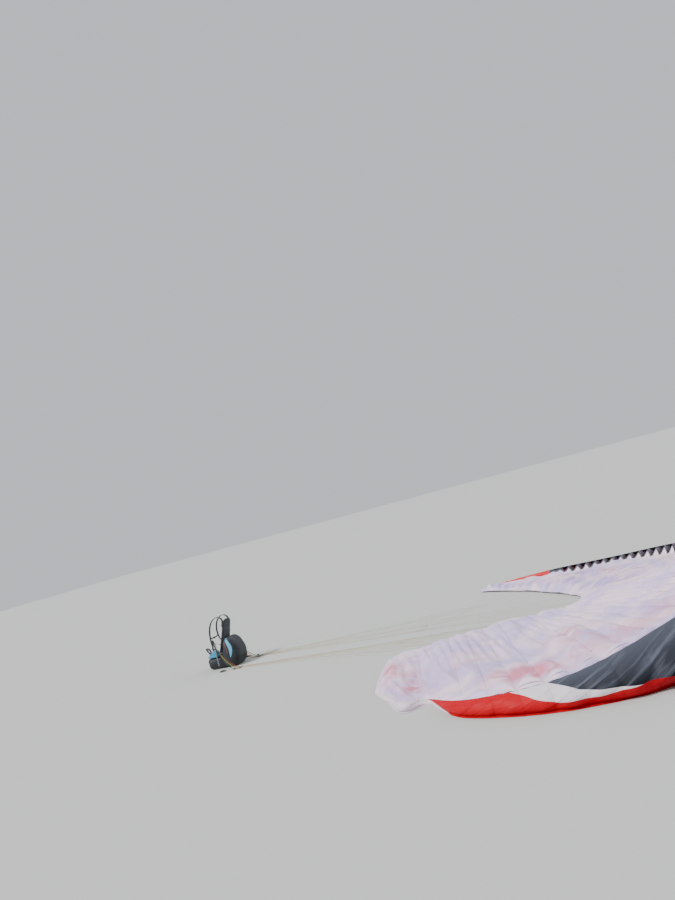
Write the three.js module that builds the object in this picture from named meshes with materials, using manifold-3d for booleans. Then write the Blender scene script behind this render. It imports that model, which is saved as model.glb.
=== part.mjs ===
// Tandem paraglider laid out upside down on flat ground in a horseshoe, ready for a forward launch.
// Millimetres, +Z up. The origin is on the ground under the wing's centre rib, 600 behind the nose.
// +Y runs from the wing towards the harness and the launch, +X towards the right wing tip.
import * as THREE from 'three';
import { mergeVertices } from 'three/addons/utils/BufferGeometryUtils.js';
import Module from 'manifold-3d';

const wasm = await Module();
wasm.setup();

// Driving dimensions of the wing
const HALF_CELLS = 21;
const OPEN_CELLS = 17;
const TEETH_PER_CELL = 2;
const MOUTH_DEPTH = 70;
const UPPER_CLOTH = 12;
const THIN_CLOTH = 6;
const CLOTH_TO_HEIGHT = 0.14;
const LOWER_CLOTH = 10;
const CELL_PUFF = 22;
const NOSE_PUFF = 14;
const LIP_STEP = 2;
const GAP = 0.3;
const BLOCK_GAP_IN_CELLS = 0.0012;

// Round ends of the wing: how far they reach beyond the last rib, the steps on the way, and how
// much of the chord, nose height and trailing edge height they lose by their end
const TIP_REACH = { left: 330, right: 160 };
const TIP_STEPS = [0.45, 0.8, 1];
const TIP_LOSS = { chord: 0.96, nose: 0.4, trail: 0.5 };

// How the wing lies, one row for each sixth of a half span, the left wing with a minus sign.
// Columns: station, nose x, nose y, trailing edge x, trailing edge y, nose height,
// lean of the nose lip over the wing, trailing edge height, and the share of its height that the
// lower skin drops steeply behind its front edge.
const LAYOUT = [
  [-6, -2800, 3820, -1120, 4380, 100, 60, 150, 0],
  [-5, -3220, 2820, -750, 3650, 150, 100, 170, 0.1],
  [-4, -3300, 1820, -300, 3000, 270, 160, 170, 0.15],
  [-3, -2950, 820, -80, 2550, 490, 290, 140, 0.2],
  [-2, -2180, 20, 200, 2320, 640, 320, 100, 0.2],
  [-1, -1160, -460, 320, 2200, 620, 320, 80, 0.3],
  [0, -50, -600, 400, 2140, 540, 310, 60, 0.4],
  [1, 1040, -460, 560, 2140, 430, 290, 50, 0.45],
  [2, 2060, -50, 880, 2180, 320, 250, 50, 0.5],
  [3, 2880, 680, 1280, 2320, 250, 200, 50, 0.55],
  [4, 3140, 1700, 1820, 2740, 190, 150, 50, 0.55],
  [5, 3320, 2820, 2460, 3320, 150, 110, 50, 0.5],
  [6, 3360, 4020, 3120, 4140, 70, 40, 40, 0.3],
];

// The wing's blocks of cells. Columns: name, first rib, last rib.
const BLOCKS = [
  ['left_tip', -21, -14],
  ['left_outer', -14, -8],
  ['left_inner', -8, -3],
  ['centre', -3, 3],
  ['right_inner', 3, 8],
  ['right_outer', 8, 14],
  ['right_tip', 14, 21],
];

// Nose outline from the lip down to the ground, as shares of the lean and of the nose height.
// Columns: share of lean, share of height inwards, share of height upwards, share of the cell puff.
const NOSE_OUTLINE = [
  [1, 0, 1, 0],
  [0.45, 0, 0.8, 0.6],
  [0.08, 0, 0.5, 1],
  [0, 0, 0.24, 1],
  [0, 0.12, 0.06, 0.4],
  [0, 0.34, 0, 0],
];
const GROUND_SHARES = [0.4, 0.8];

// The lower skin's way back in shares, with the end of its steep drop, and the power of its slope
const LOWER_SHARES = [0, 0.03, 0.12, 0.21, 0.38, 0.58, 0.8, 1];
const DROP_END = 0.03;
const SLOPE_POWER = 1.25;
const PUFF_POWER = 0.7;

// Colours and finishes
const CLOTH_WHITE = { color: 0xd9d2e2, roughness: 0.55, metalness: 0 };
const CLOTH_DARK = { color: 0x39424f, roughness: 0.5, metalness: 0 };
const CLOTH_RED = { color: 0xd42530, roughness: 0.5, metalness: 0 };
const HARNESS_DARK = { color: 0x1e2126, roughness: 0.8, metalness: 0 };
const HARNESS_GREY = { color: 0x4a4f57, roughness: 0.8, metalness: 0 };
const WEBBING = { color: 0x15171a, roughness: 0.75, metalness: 0 };
const STEEL = { color: 0xb9bdc2, roughness: 0.3, metalness: 1 };
const ALLOY = { color: 0x9aa1aa, roughness: 0.35, metalness: 1 };
const PLASTIC = { color: 0x1b1c1f, roughness: 0.45, metalness: 0 };
const LINE_COLOURS = { a: 0xc8342c, b: 0xd8c23a, c: 0xd0cfca, brake: 0xe07b28 };

const lineFinish = (row) => ({ color: LINE_COLOURS[row], roughness: 0.7, metalness: 0 });

const paraglider = new THREE.Group();

// A named piece in its own finish
function addPiece(name, geometry, finish) {
  const mesh = new THREE.Mesh(geometry, new THREE.MeshStandardMaterial(finish));
  mesh.name = name;
  paraglider.add(mesh);
  return mesh;
}

// A closed slab between two grids of points, given station by station
function slab(outer, inner) {
  const stations = outer.length;
  const count = outer[0].length;
  const points = [];
  outer.forEach((row, j) => {
    row.forEach((p) => points.push(p.x, p.y, p.z));
    inner[j].forEach((p) => points.push(p.x, p.y, p.z));
  });
  const out = (j, i) => j * 2 * count + i;
  const inn = (j, i) => j * 2 * count + count + i;
  const faces = [];
  const quad = (a, b, c, d) => faces.push(a, b, c, a, c, d);
  for (let j = 0; j < stations - 1; j += 1) {
    for (let i = 0; i < count - 1; i += 1) {
      quad(out(j, i), out(j, i + 1), out(j + 1, i + 1), out(j + 1, i));
      quad(inn(j, i), inn(j + 1, i), inn(j + 1, i + 1), inn(j, i + 1));
    }
    quad(out(j, 0), out(j + 1, 0), inn(j + 1, 0), inn(j, 0));
    quad(out(j, count - 1), inn(j, count - 1), inn(j + 1, count - 1), out(j + 1, count - 1));
  }
  const last = stations - 1;
  for (let i = 0; i < count - 1; i += 1) {
    quad(out(0, i), inn(0, i), inn(0, i + 1), out(0, i + 1));
    quad(out(last, i), out(last, i + 1), inn(last, i + 1), inn(last, i));
  }
  const geometry = new THREE.BufferGeometry();
  geometry.setAttribute('position', new THREE.Float32BufferAttribute(points, 3));
  geometry.setIndex(volumeOf(points, faces) < 0 ? faces.reverse() : faces);
  return geometry;
}

// Signed volume of a triangle list, negative where its faces point inwards
function volumeOf(points, faces) {
  const corner = (k) => new THREE.Vector3().fromArray(points, faces[k] * 3);
  let volume = 0;
  for (let k = 0; k < faces.length; k += 3) {
    volume += corner(k).dot(corner(k + 1).cross(corner(k + 2))) / 6;
  }
  return volume;
}

// Solids joined into one body, or one cut from another
function toSolid(geometry) {
  const bare = geometry.clone();
  bare.deleteAttribute('normal');
  bare.deleteAttribute('uv');
  const merged = mergeVertices(bare, 1e-4);
  const corners = merged.index.array;
  const kept = [];
  for (let k = 0; k < corners.length; k += 3) {
    const [a, b, c] = corners.slice(k, k + 3);
    if (a !== b && b !== c && c !== a) kept.push(a, b, c);
  }
  return new wasm.Manifold(new wasm.Mesh({
    numProp: 3,
    vertProperties: new Float32Array(merged.attributes.position.array),
    triVerts: new Uint32Array(kept),
  }));
}

function fromSolid(solid) {
  const mesh = solid.getMesh();
  const geometry = new THREE.BufferGeometry();
  geometry.setAttribute('position', new THREE.BufferAttribute(mesh.vertProperties, 3));
  geometry.setIndex(new THREE.BufferAttribute(mesh.triVerts, 1));
  return geometry;
}

function join(geometries) {
  return fromSolid(geometries.map(toSolid).reduce((sum, next) => sum.add(next)));
}

// A flat outline pulled to a thickness. Points that coincide are taken out first, and the outline
// is made to run anticlockwise, so that its holes' walls face the right way.
function extrude(shape, depth, options = {}) {
  const drawn = shape.extractPoints(options.curveSegments ?? 2);
  const apart = (points) => points.filter(
    (point, i) => point.distanceTo(points[(i + 1) % points.length]) > 1e-3,
  );
  const edge = apart(drawn.shape);
  const outline = new THREE.Shape(THREE.ShapeUtils.isClockWise(edge) ? edge.reverse() : edge);
  outline.holes = drawn.holes.map((hole) => new THREE.Path(apart(hole)));
  return new THREE.ExtrudeGeometry(outline, { depth, bevelEnabled: false, ...options });
}

// Rounded edges for a padded piece
const rounded = (size, segments) => ({
  bevelEnabled: true, bevelThickness: size, bevelSize: size, bevelSegments: segments,
});

// The wing: curves along the span, each with its value at every layout row
const alongSpan = (columns) => new THREE.CatmullRomCurve3(
  LAYOUT.map((row) => new THREE.Vector3(row[columns[0]], row[columns[1]], row[columns[2]])),
  false, 'catmullrom', 0.5,
);
const noseCurve = alongSpan([1, 2, 5]);
const trailCurve = alongSpan([3, 4, 7]);
const leanCurve = alongSpan([6, 6, 6]);
const dropCurve = alongSpan([8, 8, 8]);

// Where the wing's section at one rib, or between two ribs, lies on the ground
function sectionAt(cell) {
  const inside = THREE.MathUtils.clamp(cell, -HALF_CELLS, HALF_CELLS);
  const share = (inside / HALF_CELLS + 1) / 2;
  const nose = noseCurve.getPoint(share);
  const trail = trailCurve.getPoint(share);
  const section = {
    nose: new THREE.Vector2(nose.x, nose.y),
    trail: new THREE.Vector2(trail.x, trail.y),
    height: nose.z,
    lean: leanCurve.getPoint(share).x,
    drop: dropCurve.getPoint(share).x,
    trailHeight: trail.z,
  };
  const beyond = Math.abs(cell) - HALF_CELLS;
  return beyond > 0 ? tipSection(section, Math.sign(cell), beyond) : section;
}

// Beyond the last rib the cloth closes in a round tip: the chord shrinks as it moves outwards
function tipSection(last, side, beyond) {
  const before = sectionAt(side * (HALF_CELLS - 1));
  const middle = last.nose.clone().add(last.trail).divideScalar(2);
  const outwards = middle.clone().sub(before.nose.clone().add(before.trail).divideScalar(2)).normalize();
  const reach = side < 0 ? TIP_REACH.left : TIP_REACH.right;
  const shrink = Math.sqrt(1 - (TIP_LOSS.chord * beyond) ** 2);
  const half = last.trail.clone().sub(last.nose).multiplyScalar(shrink / 2);
  const centre = middle.addScaledVector(outwards, reach * beyond);
  return {
    nose: centre.clone().sub(half),
    trail: centre.clone().add(half),
    height: last.height * (1 - TIP_LOSS.nose * beyond),
    lean: last.lean * shrink,
    drop: last.drop,
    trailHeight: last.trailHeight * (1 - TIP_LOSS.trail * beyond),
  };
}

const isOpen = (cell) => Math.abs(cell) < OPEN_CELLS;
const isMouth = (cell) => isOpen(cell) && Math.abs((cell * TEETH_PER_CELL) % 1) === 0.5;
const swell = (cell) => (isOpen(cell) ? Math.sin(Math.PI * Math.abs(cell % 1)) : 0);
const chordOf = (section) => section.nose.distanceTo(section.trail);

// The upper cloth's thickness, less where the wing lies low
function clothAt(section) {
  return THREE.MathUtils.clamp(CLOTH_TO_HEIGHT * section.height, THIN_CLOTH, UPPER_CLOTH);
}

// A point of the section: inwards from the nose, and up
function placeOn(section, inwards, up) {
  const along = section.trail.clone().sub(section.nose).normalize();
  const ground = section.nose.clone().addScaledVector(along, inwards);
  return new THREE.Vector3(ground.x, ground.y, up);
}

// The upper skin's outline in the section: round the nose and back along the ground
function upperOutline(cell, section) {
  const puff = NOSE_PUFF * swell(cell);
  const outline = NOSE_OUTLINE.map(([lean, inwards, up, share]) => new THREE.Vector2(
    lean * section.lean + inwards * section.height - puff * share,
    up * section.height,
  ));
  const chord = chordOf(section);
  GROUND_SHARES.forEach((share) => outline.push(new THREE.Vector2(share * chord, 0)));
  outline.push(new THREE.Vector2(chord, section.trailHeight));
  return outline;
}

// The same outline, one cloth thickness further in
function insetOutline(outline, thickness) {
  return outline.map((point, i) => {
    if (i === 0) return new THREE.Vector2(point.x + thickness, point.y - LIP_STEP);
    if (i === outline.length - 1) return new THREE.Vector2(point.x, point.y + thickness);
    const before = point.clone().sub(outline[i - 1]).normalize();
    const after = outline[i + 1].clone().sub(point).normalize();
    const tangent = before.add(after).normalize();
    return new THREE.Vector2(point.x - tangent.y * thickness, point.y + tangent.x * thickness);
  });
}

// The lower skin's outline: from its front edge, cut back between the ribs, to the trailing edge
function lowerOutline(cell, section) {
  const cloth = clothAt(section);
  const front = section.lean + cloth + GAP;
  const run = chordOf(section) - front;
  const mouth = isMouth(cell) ? MOUTH_DEPTH / run : 0;
  const puff = CELL_PUFF * swell(cell);
  const low = section.trailHeight + cloth + GAP;
  const high = section.height - LOWER_CLOTH;
  return LOWER_SHARES.map((share) => {
    const s = mouth + (1 - mouth) * share;
    const drop = Math.max(0, 1 - s / DROP_END);
    const slope = (1 - s) ** SLOPE_POWER;
    const rise = (high - low) * (section.drop * drop + (1 - section.drop) * slope);
    return new THREE.Vector2(front + run * s, low + rise + puff * Math.sin(Math.PI * s ** PUFF_POWER));
  });
}

// A block's stations: each rib, and where the cells are open also each tooth and mouth between
function stationsOf(first, last) {
  const cells = [];
  const step = 0.5 / TEETH_PER_CELL;
  for (let rib = first; rib < last; rib += 1) {
    cells.push(rib);
    for (let part = step; isOpen(rib + 0.5) && part < 1; part += step) cells.push(rib + part);
  }
  cells.push(last);
  cells[0] += BLOCK_GAP_IN_CELLS;
  cells[cells.length - 1] -= BLOCK_GAP_IN_CELLS;
  const beyond = TIP_STEPS.map((share) => HALF_CELLS + share);
  if (first === -HALF_CELLS) cells.splice(0, 1, ...beyond.map((cell) => -cell).reverse(), first);
  if (last === HALF_CELLS) cells.splice(-1, 1, last, ...beyond);
  return cells;
}

function addBlock(name, first, last) {
  const upper = { outer: [], inner: [] };
  const lower = { outer: [], inner: [] };
  stationsOf(first, last).forEach((cell) => {
    const section = sectionAt(cell);
    const outline = upperOutline(cell, section);
    const place = (point) => placeOn(section, point.x, point.y);
    const thicken = (point) => placeOn(section, point.x, point.y + LOWER_CLOTH);
    upper.outer.push(outline.map(place));
    upper.inner.push(insetOutline(outline, clothAt(section)).map(place));
    lower.outer.push(lowerOutline(cell, section).map(place));
    lower.inner.push(lowerOutline(cell, section).map(thicken));
  });
  const upperCloth = name.endsWith('_tip') ? CLOTH_RED : CLOTH_DARK;
  addPiece(`upper_skin_${name}`, slab(upper.outer, upper.inner), upperCloth);
  addPiece(`lower_skin_${name}`, slab(lower.outer, lower.inner), CLOTH_WHITE);
}

BLOCKS.forEach(([name, first, last]) => addBlock(name, first, last));

// The harness stands where the crew makes ready. All the pieces below are placed from this point,
// written for the right-hand side and mirrored for the left.
const HARNESS = new THREE.Vector3(950, 8600, 0);
const SIDES = [['left', -1], ['right', 1]];
const AIRBAG_HALF = 180;
const AIRBAG_ROUND = 25;
const SEAT_TOP = 215;
const BACK_FOOT = new THREE.Vector2(-40, 190);
const BACK_HEAD = new THREE.Vector2(-150, 480);

function atHarness(geometry) {
  return geometry.translate(HARNESS.x, HARNESS.y, HARNESS.z);
}

// Turns a shape drawn in (Y, Z) and extruded sideways into place
function sideways(geometry) {
  const axes = [new THREE.Vector3(0, 1, 0), new THREE.Vector3(0, 0, 1), new THREE.Vector3(1, 0, 0)];
  return geometry.applyMatrix4(new THREE.Matrix4().makeBasis(...axes));
}

// Air bag under the seat and behind the back, drawn from the side. Each row is a curve from the
// last one's end. Columns: y and z that the curve bends towards, y and z of its end.
const BAG_CURVES = [
  [-250, AIRBAG_ROUND, -250, AIRBAG_ROUND],
  [230, AIRBAG_ROUND, 230, AIRBAG_ROUND],
  [290, AIRBAG_ROUND, 290, 90],
  [290, 150, 290, 150],
  [290, 190, 250, 190],
  [BACK_FOOT.x, BACK_FOOT.y, BACK_FOOT.x, BACK_FOOT.y],
  [BACK_HEAD.x, BACK_HEAD.y, BACK_HEAD.x, BACK_HEAD.y],
  [-230, 540, -320, 440],
  [-420, 320, -390, 170],
  [-370, AIRBAG_ROUND, -250, AIRBAG_ROUND],
];
const bagOutline = new THREE.Shape();
BAG_CURVES.forEach(([bendY, bendZ, y, z], i) => {
  if (i === 0) bagOutline.moveTo(y, z);
  else if (bendY === y && bendZ === z) bagOutline.lineTo(y, z);
  else bagOutline.quadraticCurveTo(bendY, bendZ, y, z);
});
const bag = extrude(bagOutline, 2 * AIRBAG_HALF, { ...rounded(AIRBAG_ROUND, 2), curveSegments: 4 });
bag.translate(0, 0, -AIRBAG_HALF);
addPiece('harness_airbag', atHarness(sideways(bag)), HARNESS_DARK);

// A rectangle with round corners, drawn about its centre
function roundedRectangle(width, height, radius) {
  const shape = new THREE.Shape();
  const x = width / 2;
  const y = height / 2;
  shape.moveTo(-x + radius, -y);
  shape.lineTo(x - radius, -y);
  shape.absarc(x - radius, -y + radius, radius, -Math.PI / 2, 0);
  shape.lineTo(x, y - radius);
  shape.absarc(x - radius, y - radius, radius, 0, Math.PI / 2);
  shape.lineTo(-x + radius, y);
  shape.absarc(-x + radius, y - radius, radius, Math.PI / 2, Math.PI);
  shape.lineTo(-x, -y + radius);
  shape.absarc(-x + radius, -y + radius, radius, Math.PI, 1.5 * Math.PI);
  return shape;
}

// Seat pad over the seat board
const SEAT = { width: 340, length: 285, thickness: 30, bevel: 6, corner: 30 };
const seat = extrude(
  roundedRectangle(SEAT.width - 2 * SEAT.bevel, SEAT.length - 2 * SEAT.bevel, SEAT.corner),
  SEAT.thickness - 2 * SEAT.bevel,
  rounded(SEAT.bevel, 1),
);
seat.translate(0, SEAT.length / 2, SEAT_TOP + GAP + SEAT.bevel);
addPiece('seat_pad', atHarness(seat), HARNESS_GREY);

// Back panel, leaning against the air bag's sloping front
const BACK = {
  foot: 60, length: 640, halfFoot: 165, halfHead: 125, corner: 60, thickness: 44, bevel: 6,
};
const backLean = BACK_HEAD.clone().sub(BACK_FOOT).normalize();
const backOut = new THREE.Vector2(backLean.y, -backLean.x);
const backOutline = new THREE.Shape();
backOutline.moveTo(-BACK.halfFoot, 0);
backOutline.lineTo(BACK.halfFoot, 0);
backOutline.lineTo(BACK.halfHead, BACK.length - BACK.corner);
backOutline.quadraticCurveTo(BACK.halfHead, BACK.length, BACK.halfHead - BACK.corner, BACK.length);
backOutline.lineTo(BACK.corner - BACK.halfHead, BACK.length);
backOutline.quadraticCurveTo(-BACK.halfHead, BACK.length, -BACK.halfHead, BACK.length - BACK.corner);
const backStart = BACK_FOOT.clone()
  .addScaledVector(backOut, AIRBAG_ROUND + GAP + BACK.thickness)
  .addScaledVector(backLean, BACK.foot);
const back = extrude(backOutline, BACK.thickness - 2 * BACK.bevel, rounded(BACK.bevel, 1));
back.translate(0, 0, BACK.bevel);
back.applyMatrix4(new THREE.Matrix4().makeBasis(
  new THREE.Vector3(1, 0, 0),
  new THREE.Vector3(0, backLean.x, backLean.y),
  new THREE.Vector3(0, -backOut.x, -backOut.y),
));
back.translate(0, backStart.x, backStart.y);
addPiece('back_panel', atHarness(back), HARNESS_GREY);

// A flat strap through hand-set points, each with the direction of its width
function strap(route, width, thickness) {
  const centres = route.map(([x, y, z]) => new THREE.Vector3(x, y, z));
  const top = [];
  const bottom = [];
  route.forEach(([, , , wx, wy, wz], i) => {
    const before = centres[Math.max(i - 1, 0)];
    const after = centres[Math.min(i + 1, centres.length - 1)];
    const run = after.clone().sub(before).normalize();
    const across = new THREE.Vector3(wx, wy, wz);
    across.addScaledVector(run, -across.dot(run)).normalize();
    const normal = new THREE.Vector3().crossVectors(run, across);
    const corner = (a, n) => centres[i].clone()
      .addScaledVector(across, (a * width) / 2)
      .addScaledVector(normal, (n * thickness) / 2);
    top.push([corner(-1, 1), corner(1, 1)]);
    bottom.push([corner(-1, -1), corner(1, -1)]);
  });
  return slab(top, bottom);
}

const mirrored = (route, side) => route.map(
  ([x, y, z, wx, wy, wz]) => [side * x, y, z, wx, side * wy, side * wz],
);

// Hip panels, shoulder straps and leg straps, one of each on either side. The hip panel's outline
// is drawn from the side in columns y, z.
const HIP = { inner: 176, thickness: 12, top: 345 };
const HIP_OUTLINE = [
  [20, SEAT_TOP + GAP], [240, SEAT_TOP + GAP], [225, 262], [130, 312], [118, HIP.top],
  [-50, HIP.top], [-32, 270],
];
const SHOULDER = { width: 46, thickness: 10 };
const LEG = { width: 36, thickness: 6 };
// Columns of the strap routes: x, y, z, and the direction of the strap's width
const SHOULDER_ROUTE = [
  [95, -168.7, 740.1, 1, 0, 0],
  [96, -197, 815, 1, 0, 0],
  [97, -184, 868, 1, 0, 0],
  [98, -130, 904, 1, 0, 0],
  [100, -40, 900, 1, 0, 0],
  [104, 60, 820, 1, 0, 0],
  [112, 118, 690, 1, 0, 0],
  [128, 128, 560, 1, 0, 0],
  [152, 106, 450, 1, 0.3, 0],
  [180, 74, 385, 0.2, 1, 0],
  [182, 66, 365, 0, 1, 0],
  [182, 66, HIP.top + GAP, 0, 1, 0],
];
const LEG_ROUTE = [
  [70, 262, SEAT_TOP + 2 * GAP + 30, 1, 0, 0],
  [70, 262, 275, 1, 0, 0],
  [78, 292, 330, 1, 0, 0],
  [100, 290, 376, 1, 0.3, 0],
  [140, 240, 396, 1, 1, 0],
  [170, 180, 376, 0.3, 1, 0],
  [182, 150, 345, 0, 1, 0],
  [182, 150, 311.4, 0, 1, 0],
];

function hipPanel() {
  const outline = new THREE.Shape(HIP_OUTLINE.map(([y, z]) => new THREE.Vector2(y, z)));
  return sideways(extrude(outline, HIP.thickness));
}

SIDES.forEach(([name, side]) => {
  const hip = hipPanel();
  hip.translate(side > 0 ? HIP.inner : -HIP.inner - HIP.thickness, 0, 0);
  addPiece(`hip_panel_${name}`, atHarness(hip), HARNESS_GREY);
  const shoulder = strap(mirrored(SHOULDER_ROUTE, side), SHOULDER.width, SHOULDER.thickness);
  addPiece(`shoulder_strap_${name}`, atHarness(shoulder), HARNESS_DARK);
  const leg = strap(mirrored(LEG_ROUTE, side), LEG.width, LEG.thickness);
  addPiece(`leg_strap_${name}`, atHarness(leg), WEBBING);
});

// Chest strap with its buckle, between the shoulder straps
const CHEST = { y: 128, z: 560, halfWidth: 103, height: 24, thickness: 4 };
const BUCKLE = { width: 46, thickness: 14, height: 36 };
const chestBand = new THREE.BoxGeometry(2 * CHEST.halfWidth, CHEST.thickness, CHEST.height);
const chestBuckle = new THREE.BoxGeometry(BUCKLE.width, BUCKLE.thickness, BUCKLE.height);
addPiece(
  'chest_strap',
  atHarness(join([chestBand, chestBuckle]).translate(0, CHEST.y, CHEST.z)),
  WEBBING,
);

// Main carabiner: an upright ring across the hip, with its gate on the outer side
const RING = {
  x: 212, y: 15, z: 425, halfWidth: 40, halfHeight: 55, corner: 13, cornerCut: 0.3,
  bar: 5, gate: 46, gateBar: 4.2,
};
const BAR_LOW = RING.z - RING.halfHeight + RING.bar;
const BAR_HIGH = RING.z + RING.halfHeight - RING.bar;

function circleShape(radius, sides) {
  const shape = new THREE.Shape();
  for (let k = 0; k < sides; k += 1) {
    const angle = (2 * Math.PI * k) / sides;
    if (k === 0) shape.moveTo(radius, 0);
    else shape.lineTo(radius * Math.cos(angle), radius * Math.sin(angle));
  }
  shape.closePath();
  return shape;
}

// A curve that is stepped from one of its points to the next
class PointByPoint extends THREE.CatmullRomCurve3 {
  getPointAt(share) {
    return this.getPoint(share);
  }

  getTangentAt(share) {
    return this.getTangent(share);
  }
}

function bar(points, radius, sides) {
  const path = { extrudePath: new PointByPoint(points), steps: points.length - 1 };
  return new THREE.ExtrudeGeometry(circleShape(radius, sides), path);
}

// The ring's open side runs from the gate's head to its hinge
function carabinerRoute(side) {
  const out = RING.halfWidth - RING.bar;
  const head = RING.gate / 2 + GAP;
  const foot = -RING.gate / 2 - GAP;
  const high = BAR_HIGH - RING.z;
  const low = BAR_LOW - RING.z;
  const soft = RING.corner * RING.cornerCut;
  const outline = [
    [out, head], [out, high - RING.corner], [out - soft, high - soft], [out - RING.corner, high],
    [-out + RING.corner, high], [-out + soft, high - soft], [-out, high - RING.corner],
    [-out, 0],
    [-out, low + RING.corner], [-out + soft, low + soft], [-out + RING.corner, low],
    [out - RING.corner, low], [out - soft, low + soft], [out, low + RING.corner], [out, foot],
  ];
  return outline.map(([x, z]) => new THREE.Vector3(side * (RING.x + x), RING.y, RING.z + z));
}

// A webbing loop round one of the ring's bars, drawn from the side: hang loops point down,
// riser loops point up
const LOOP = { thickness: 3, width: 20, sewn: 12, riserReach: 40, hangFoot: 300 };
const STITCH = { x: 14, y: 16, z: 30, foot: 300 };

function webbingLoop(reach, upwards) {
  const inner = RING.bar + GAP;
  const outer = inner + LOOP.thickness;
  const outline = new THREE.Shape();
  outline.moveTo(-outer, -reach);
  outline.lineTo(-outer, 0);
  outline.absarc(0, 0, outer, Math.PI, 0, true);
  outline.lineTo(outer, -reach);
  outline.lineTo(-outer, -reach);
  const hole = new THREE.Path();
  hole.moveTo(-inner, -reach + LOOP.sewn);
  hole.lineTo(-inner, 0);
  hole.absarc(0, 0, inner, Math.PI, 0, true);
  hole.lineTo(inner, -reach + LOOP.sewn);
  outline.holes.push(hole);
  const loop = sideways(extrude(outline, LOOP.width, { curveSegments: 8 }));
  return upwards ? loop.rotateX(Math.PI) : loop;
}

SIDES.forEach(([name, side]) => {
  addPiece(`carabiner_${name}`, atHarness(bar(carabinerRoute(side), RING.bar, 8)), ALLOY);
  const gate = new THREE.CapsuleGeometry(RING.gateBar, RING.gate - 2 * RING.gateBar - 2 * GAP, 3, 10);
  gate.rotateX(Math.PI / 2);
  gate.translate(side * (RING.x + RING.halfWidth - RING.bar), RING.y, RING.z);
  addPiece(`carabiner_gate_${name}`, atHarness(gate), STEEL);
  const hang = webbingLoop(BAR_LOW - LOOP.hangFoot, false);
  hang.translate(side > 0 ? RING.x - LOOP.width + 1 : -RING.x - 1, RING.y, BAR_LOW);
  const stitch = new THREE.BoxGeometry(STITCH.x, STITCH.y, STITCH.z);
  const sewnAt = HIP.inner + HIP.thickness + GAP + STITCH.x / 2;
  stitch.translate(side * sewnAt, RING.y, STITCH.foot + STITCH.z / 2);
  addPiece(`hang_loop_${name}`, atHarness(join([hang, stitch])), WEBBING);
});

// Spreader arm for the passenger: a flat bar that swings on the ring's lower bar
const ARM = { x: 222, thickness: 6, length: 290, eye: 16, hole: 8, waist: 11, neck: 28, play: 0.4 };

function spreaderArm() {
  const outline = new THREE.Shape();
  outline.absarc(0, 0, ARM.eye, -Math.PI / 3, Math.PI * 4 / 3);
  outline.lineTo(-ARM.waist, -ARM.neck);
  outline.lineTo(-ARM.waist, ARM.neck - ARM.length);
  outline.absarc(0, -ARM.length, ARM.eye, Math.PI * 2 / 3, Math.PI * 7 / 3);
  outline.lineTo(ARM.waist, -ARM.neck);
  [0, -ARM.length].forEach((height) => {
    const hole = new THREE.Path();
    hole.absarc(0, height, ARM.hole, 0, Math.PI * 2);
    outline.holes.push(hole);
  });
  return sideways(extrude(outline, ARM.thickness, { curveSegments: 8 }));
}

SIDES.forEach(([name, side]) => {
  const arm = spreaderArm();
  const hang = BAR_LOW - (ARM.hole - RING.bar) + ARM.play;
  arm.translate(side > 0 ? ARM.x - ARM.thickness / 2 : -ARM.x - ARM.thickness / 2, RING.y, hang);
  addPiece(`spreader_arm_${name}`, atHarness(arm), ALLOY);
});

// Risers: three straps sewn together over the carabiner, fanning out to their quick links on the ground
const RISER = { width: 22, thickness: 4, end: -545 };
const GROUND_Z = 4;
// Columns: row of lines, x where its strap ends, step outwards where the straps lie on each other
const STRAPS = [['a', 267, 0], ['b', 325, 4.2], ['c', 383, 8.4]];

function riserRoute(endX, step) {
  return [
    [212, 15, 512, 0, 1, 0],
    [222, 14, 530 + step, 0, 1, 0],
    [250 + step, 8, 524 + step, 0, 1, 0.1],
    [262 + step, -10, 470, 0, 1, 0.4],
    [272 + step, -70, 340, 0.2, 0.8, 0.5],
    [(290 + endX) / 2, -200, 170, 0.8, 0.2, 0.3],
    [endX - 6, -330, 50, 1, 0, 0],
    [endX, -400, GROUND_Z + 8, 1, 0, 0],
    [endX, -440, GROUND_Z, 1, 0, 0],
    [endX, RISER.end, GROUND_Z, 1, 0, 0],
  ];
}

SIDES.forEach(([name, side]) => {
  const loop = webbingLoop(LOOP.riserReach, true);
  loop.translate(side * RING.x - LOOP.width / 2, RING.y, BAR_HIGH);
  const straps = STRAPS.map(([, endX, step]) => {
    const route = mirrored(riserRoute(endX, step), side);
    return strap(route, RISER.width, RISER.thickness);
  });
  addPiece(`riser_${name}`, atHarness(join([loop, ...straps])), WEBBING);
});

// Quick links: one for each strap
const LINK = { length: 34, width: 18, bar: 4, thickness: 5, straight: 0.5 };
const LINK_CENTRE = RISER.end - GAP - LINK.length / 2;

function quickLink() {
  const outline = roundedRectangle(LINK.width, LINK.length, LINK.width / 2 - LINK.straight);
  outline.holes.push(roundedRectangle(
    LINK.width - 2 * LINK.bar,
    LINK.length - 2 * LINK.bar,
    LINK.width / 2 - LINK.bar - LINK.straight,
  ));
  return extrude(outline, LINK.thickness);
}

SIDES.forEach(([name, side]) => {
  STRAPS.forEach(([row, endX]) => {
    const link = quickLink();
    link.translate(side * endX, LINK_CENTRE, GROUND_Z - RISER.thickness / 2);
    addPiece(`quick_link_${row}_${name}`, atHarness(link), STEEL);
  });
});

// Brake pulley beside the rear strap, its wheel on an upright pin
const PULLEY = { x: 417, y: -430, z: 14, wheel: 10, groove: 7.5, halfWheel: 4, pin: 2.5, clearance: 0.1 };
const CHEEK = { halfLength: 15, inner: 402, outer: 431, thickness: 2, gap: 5, lap: 2 };
const CHEEK_WIDTH = CHEEK.outer - CHEEK.inner;
const BRAKE_LINE = 1.25;
const CORD_X = PULLEY.x + PULLEY.groove + BRAKE_LINE + GAP;

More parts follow.
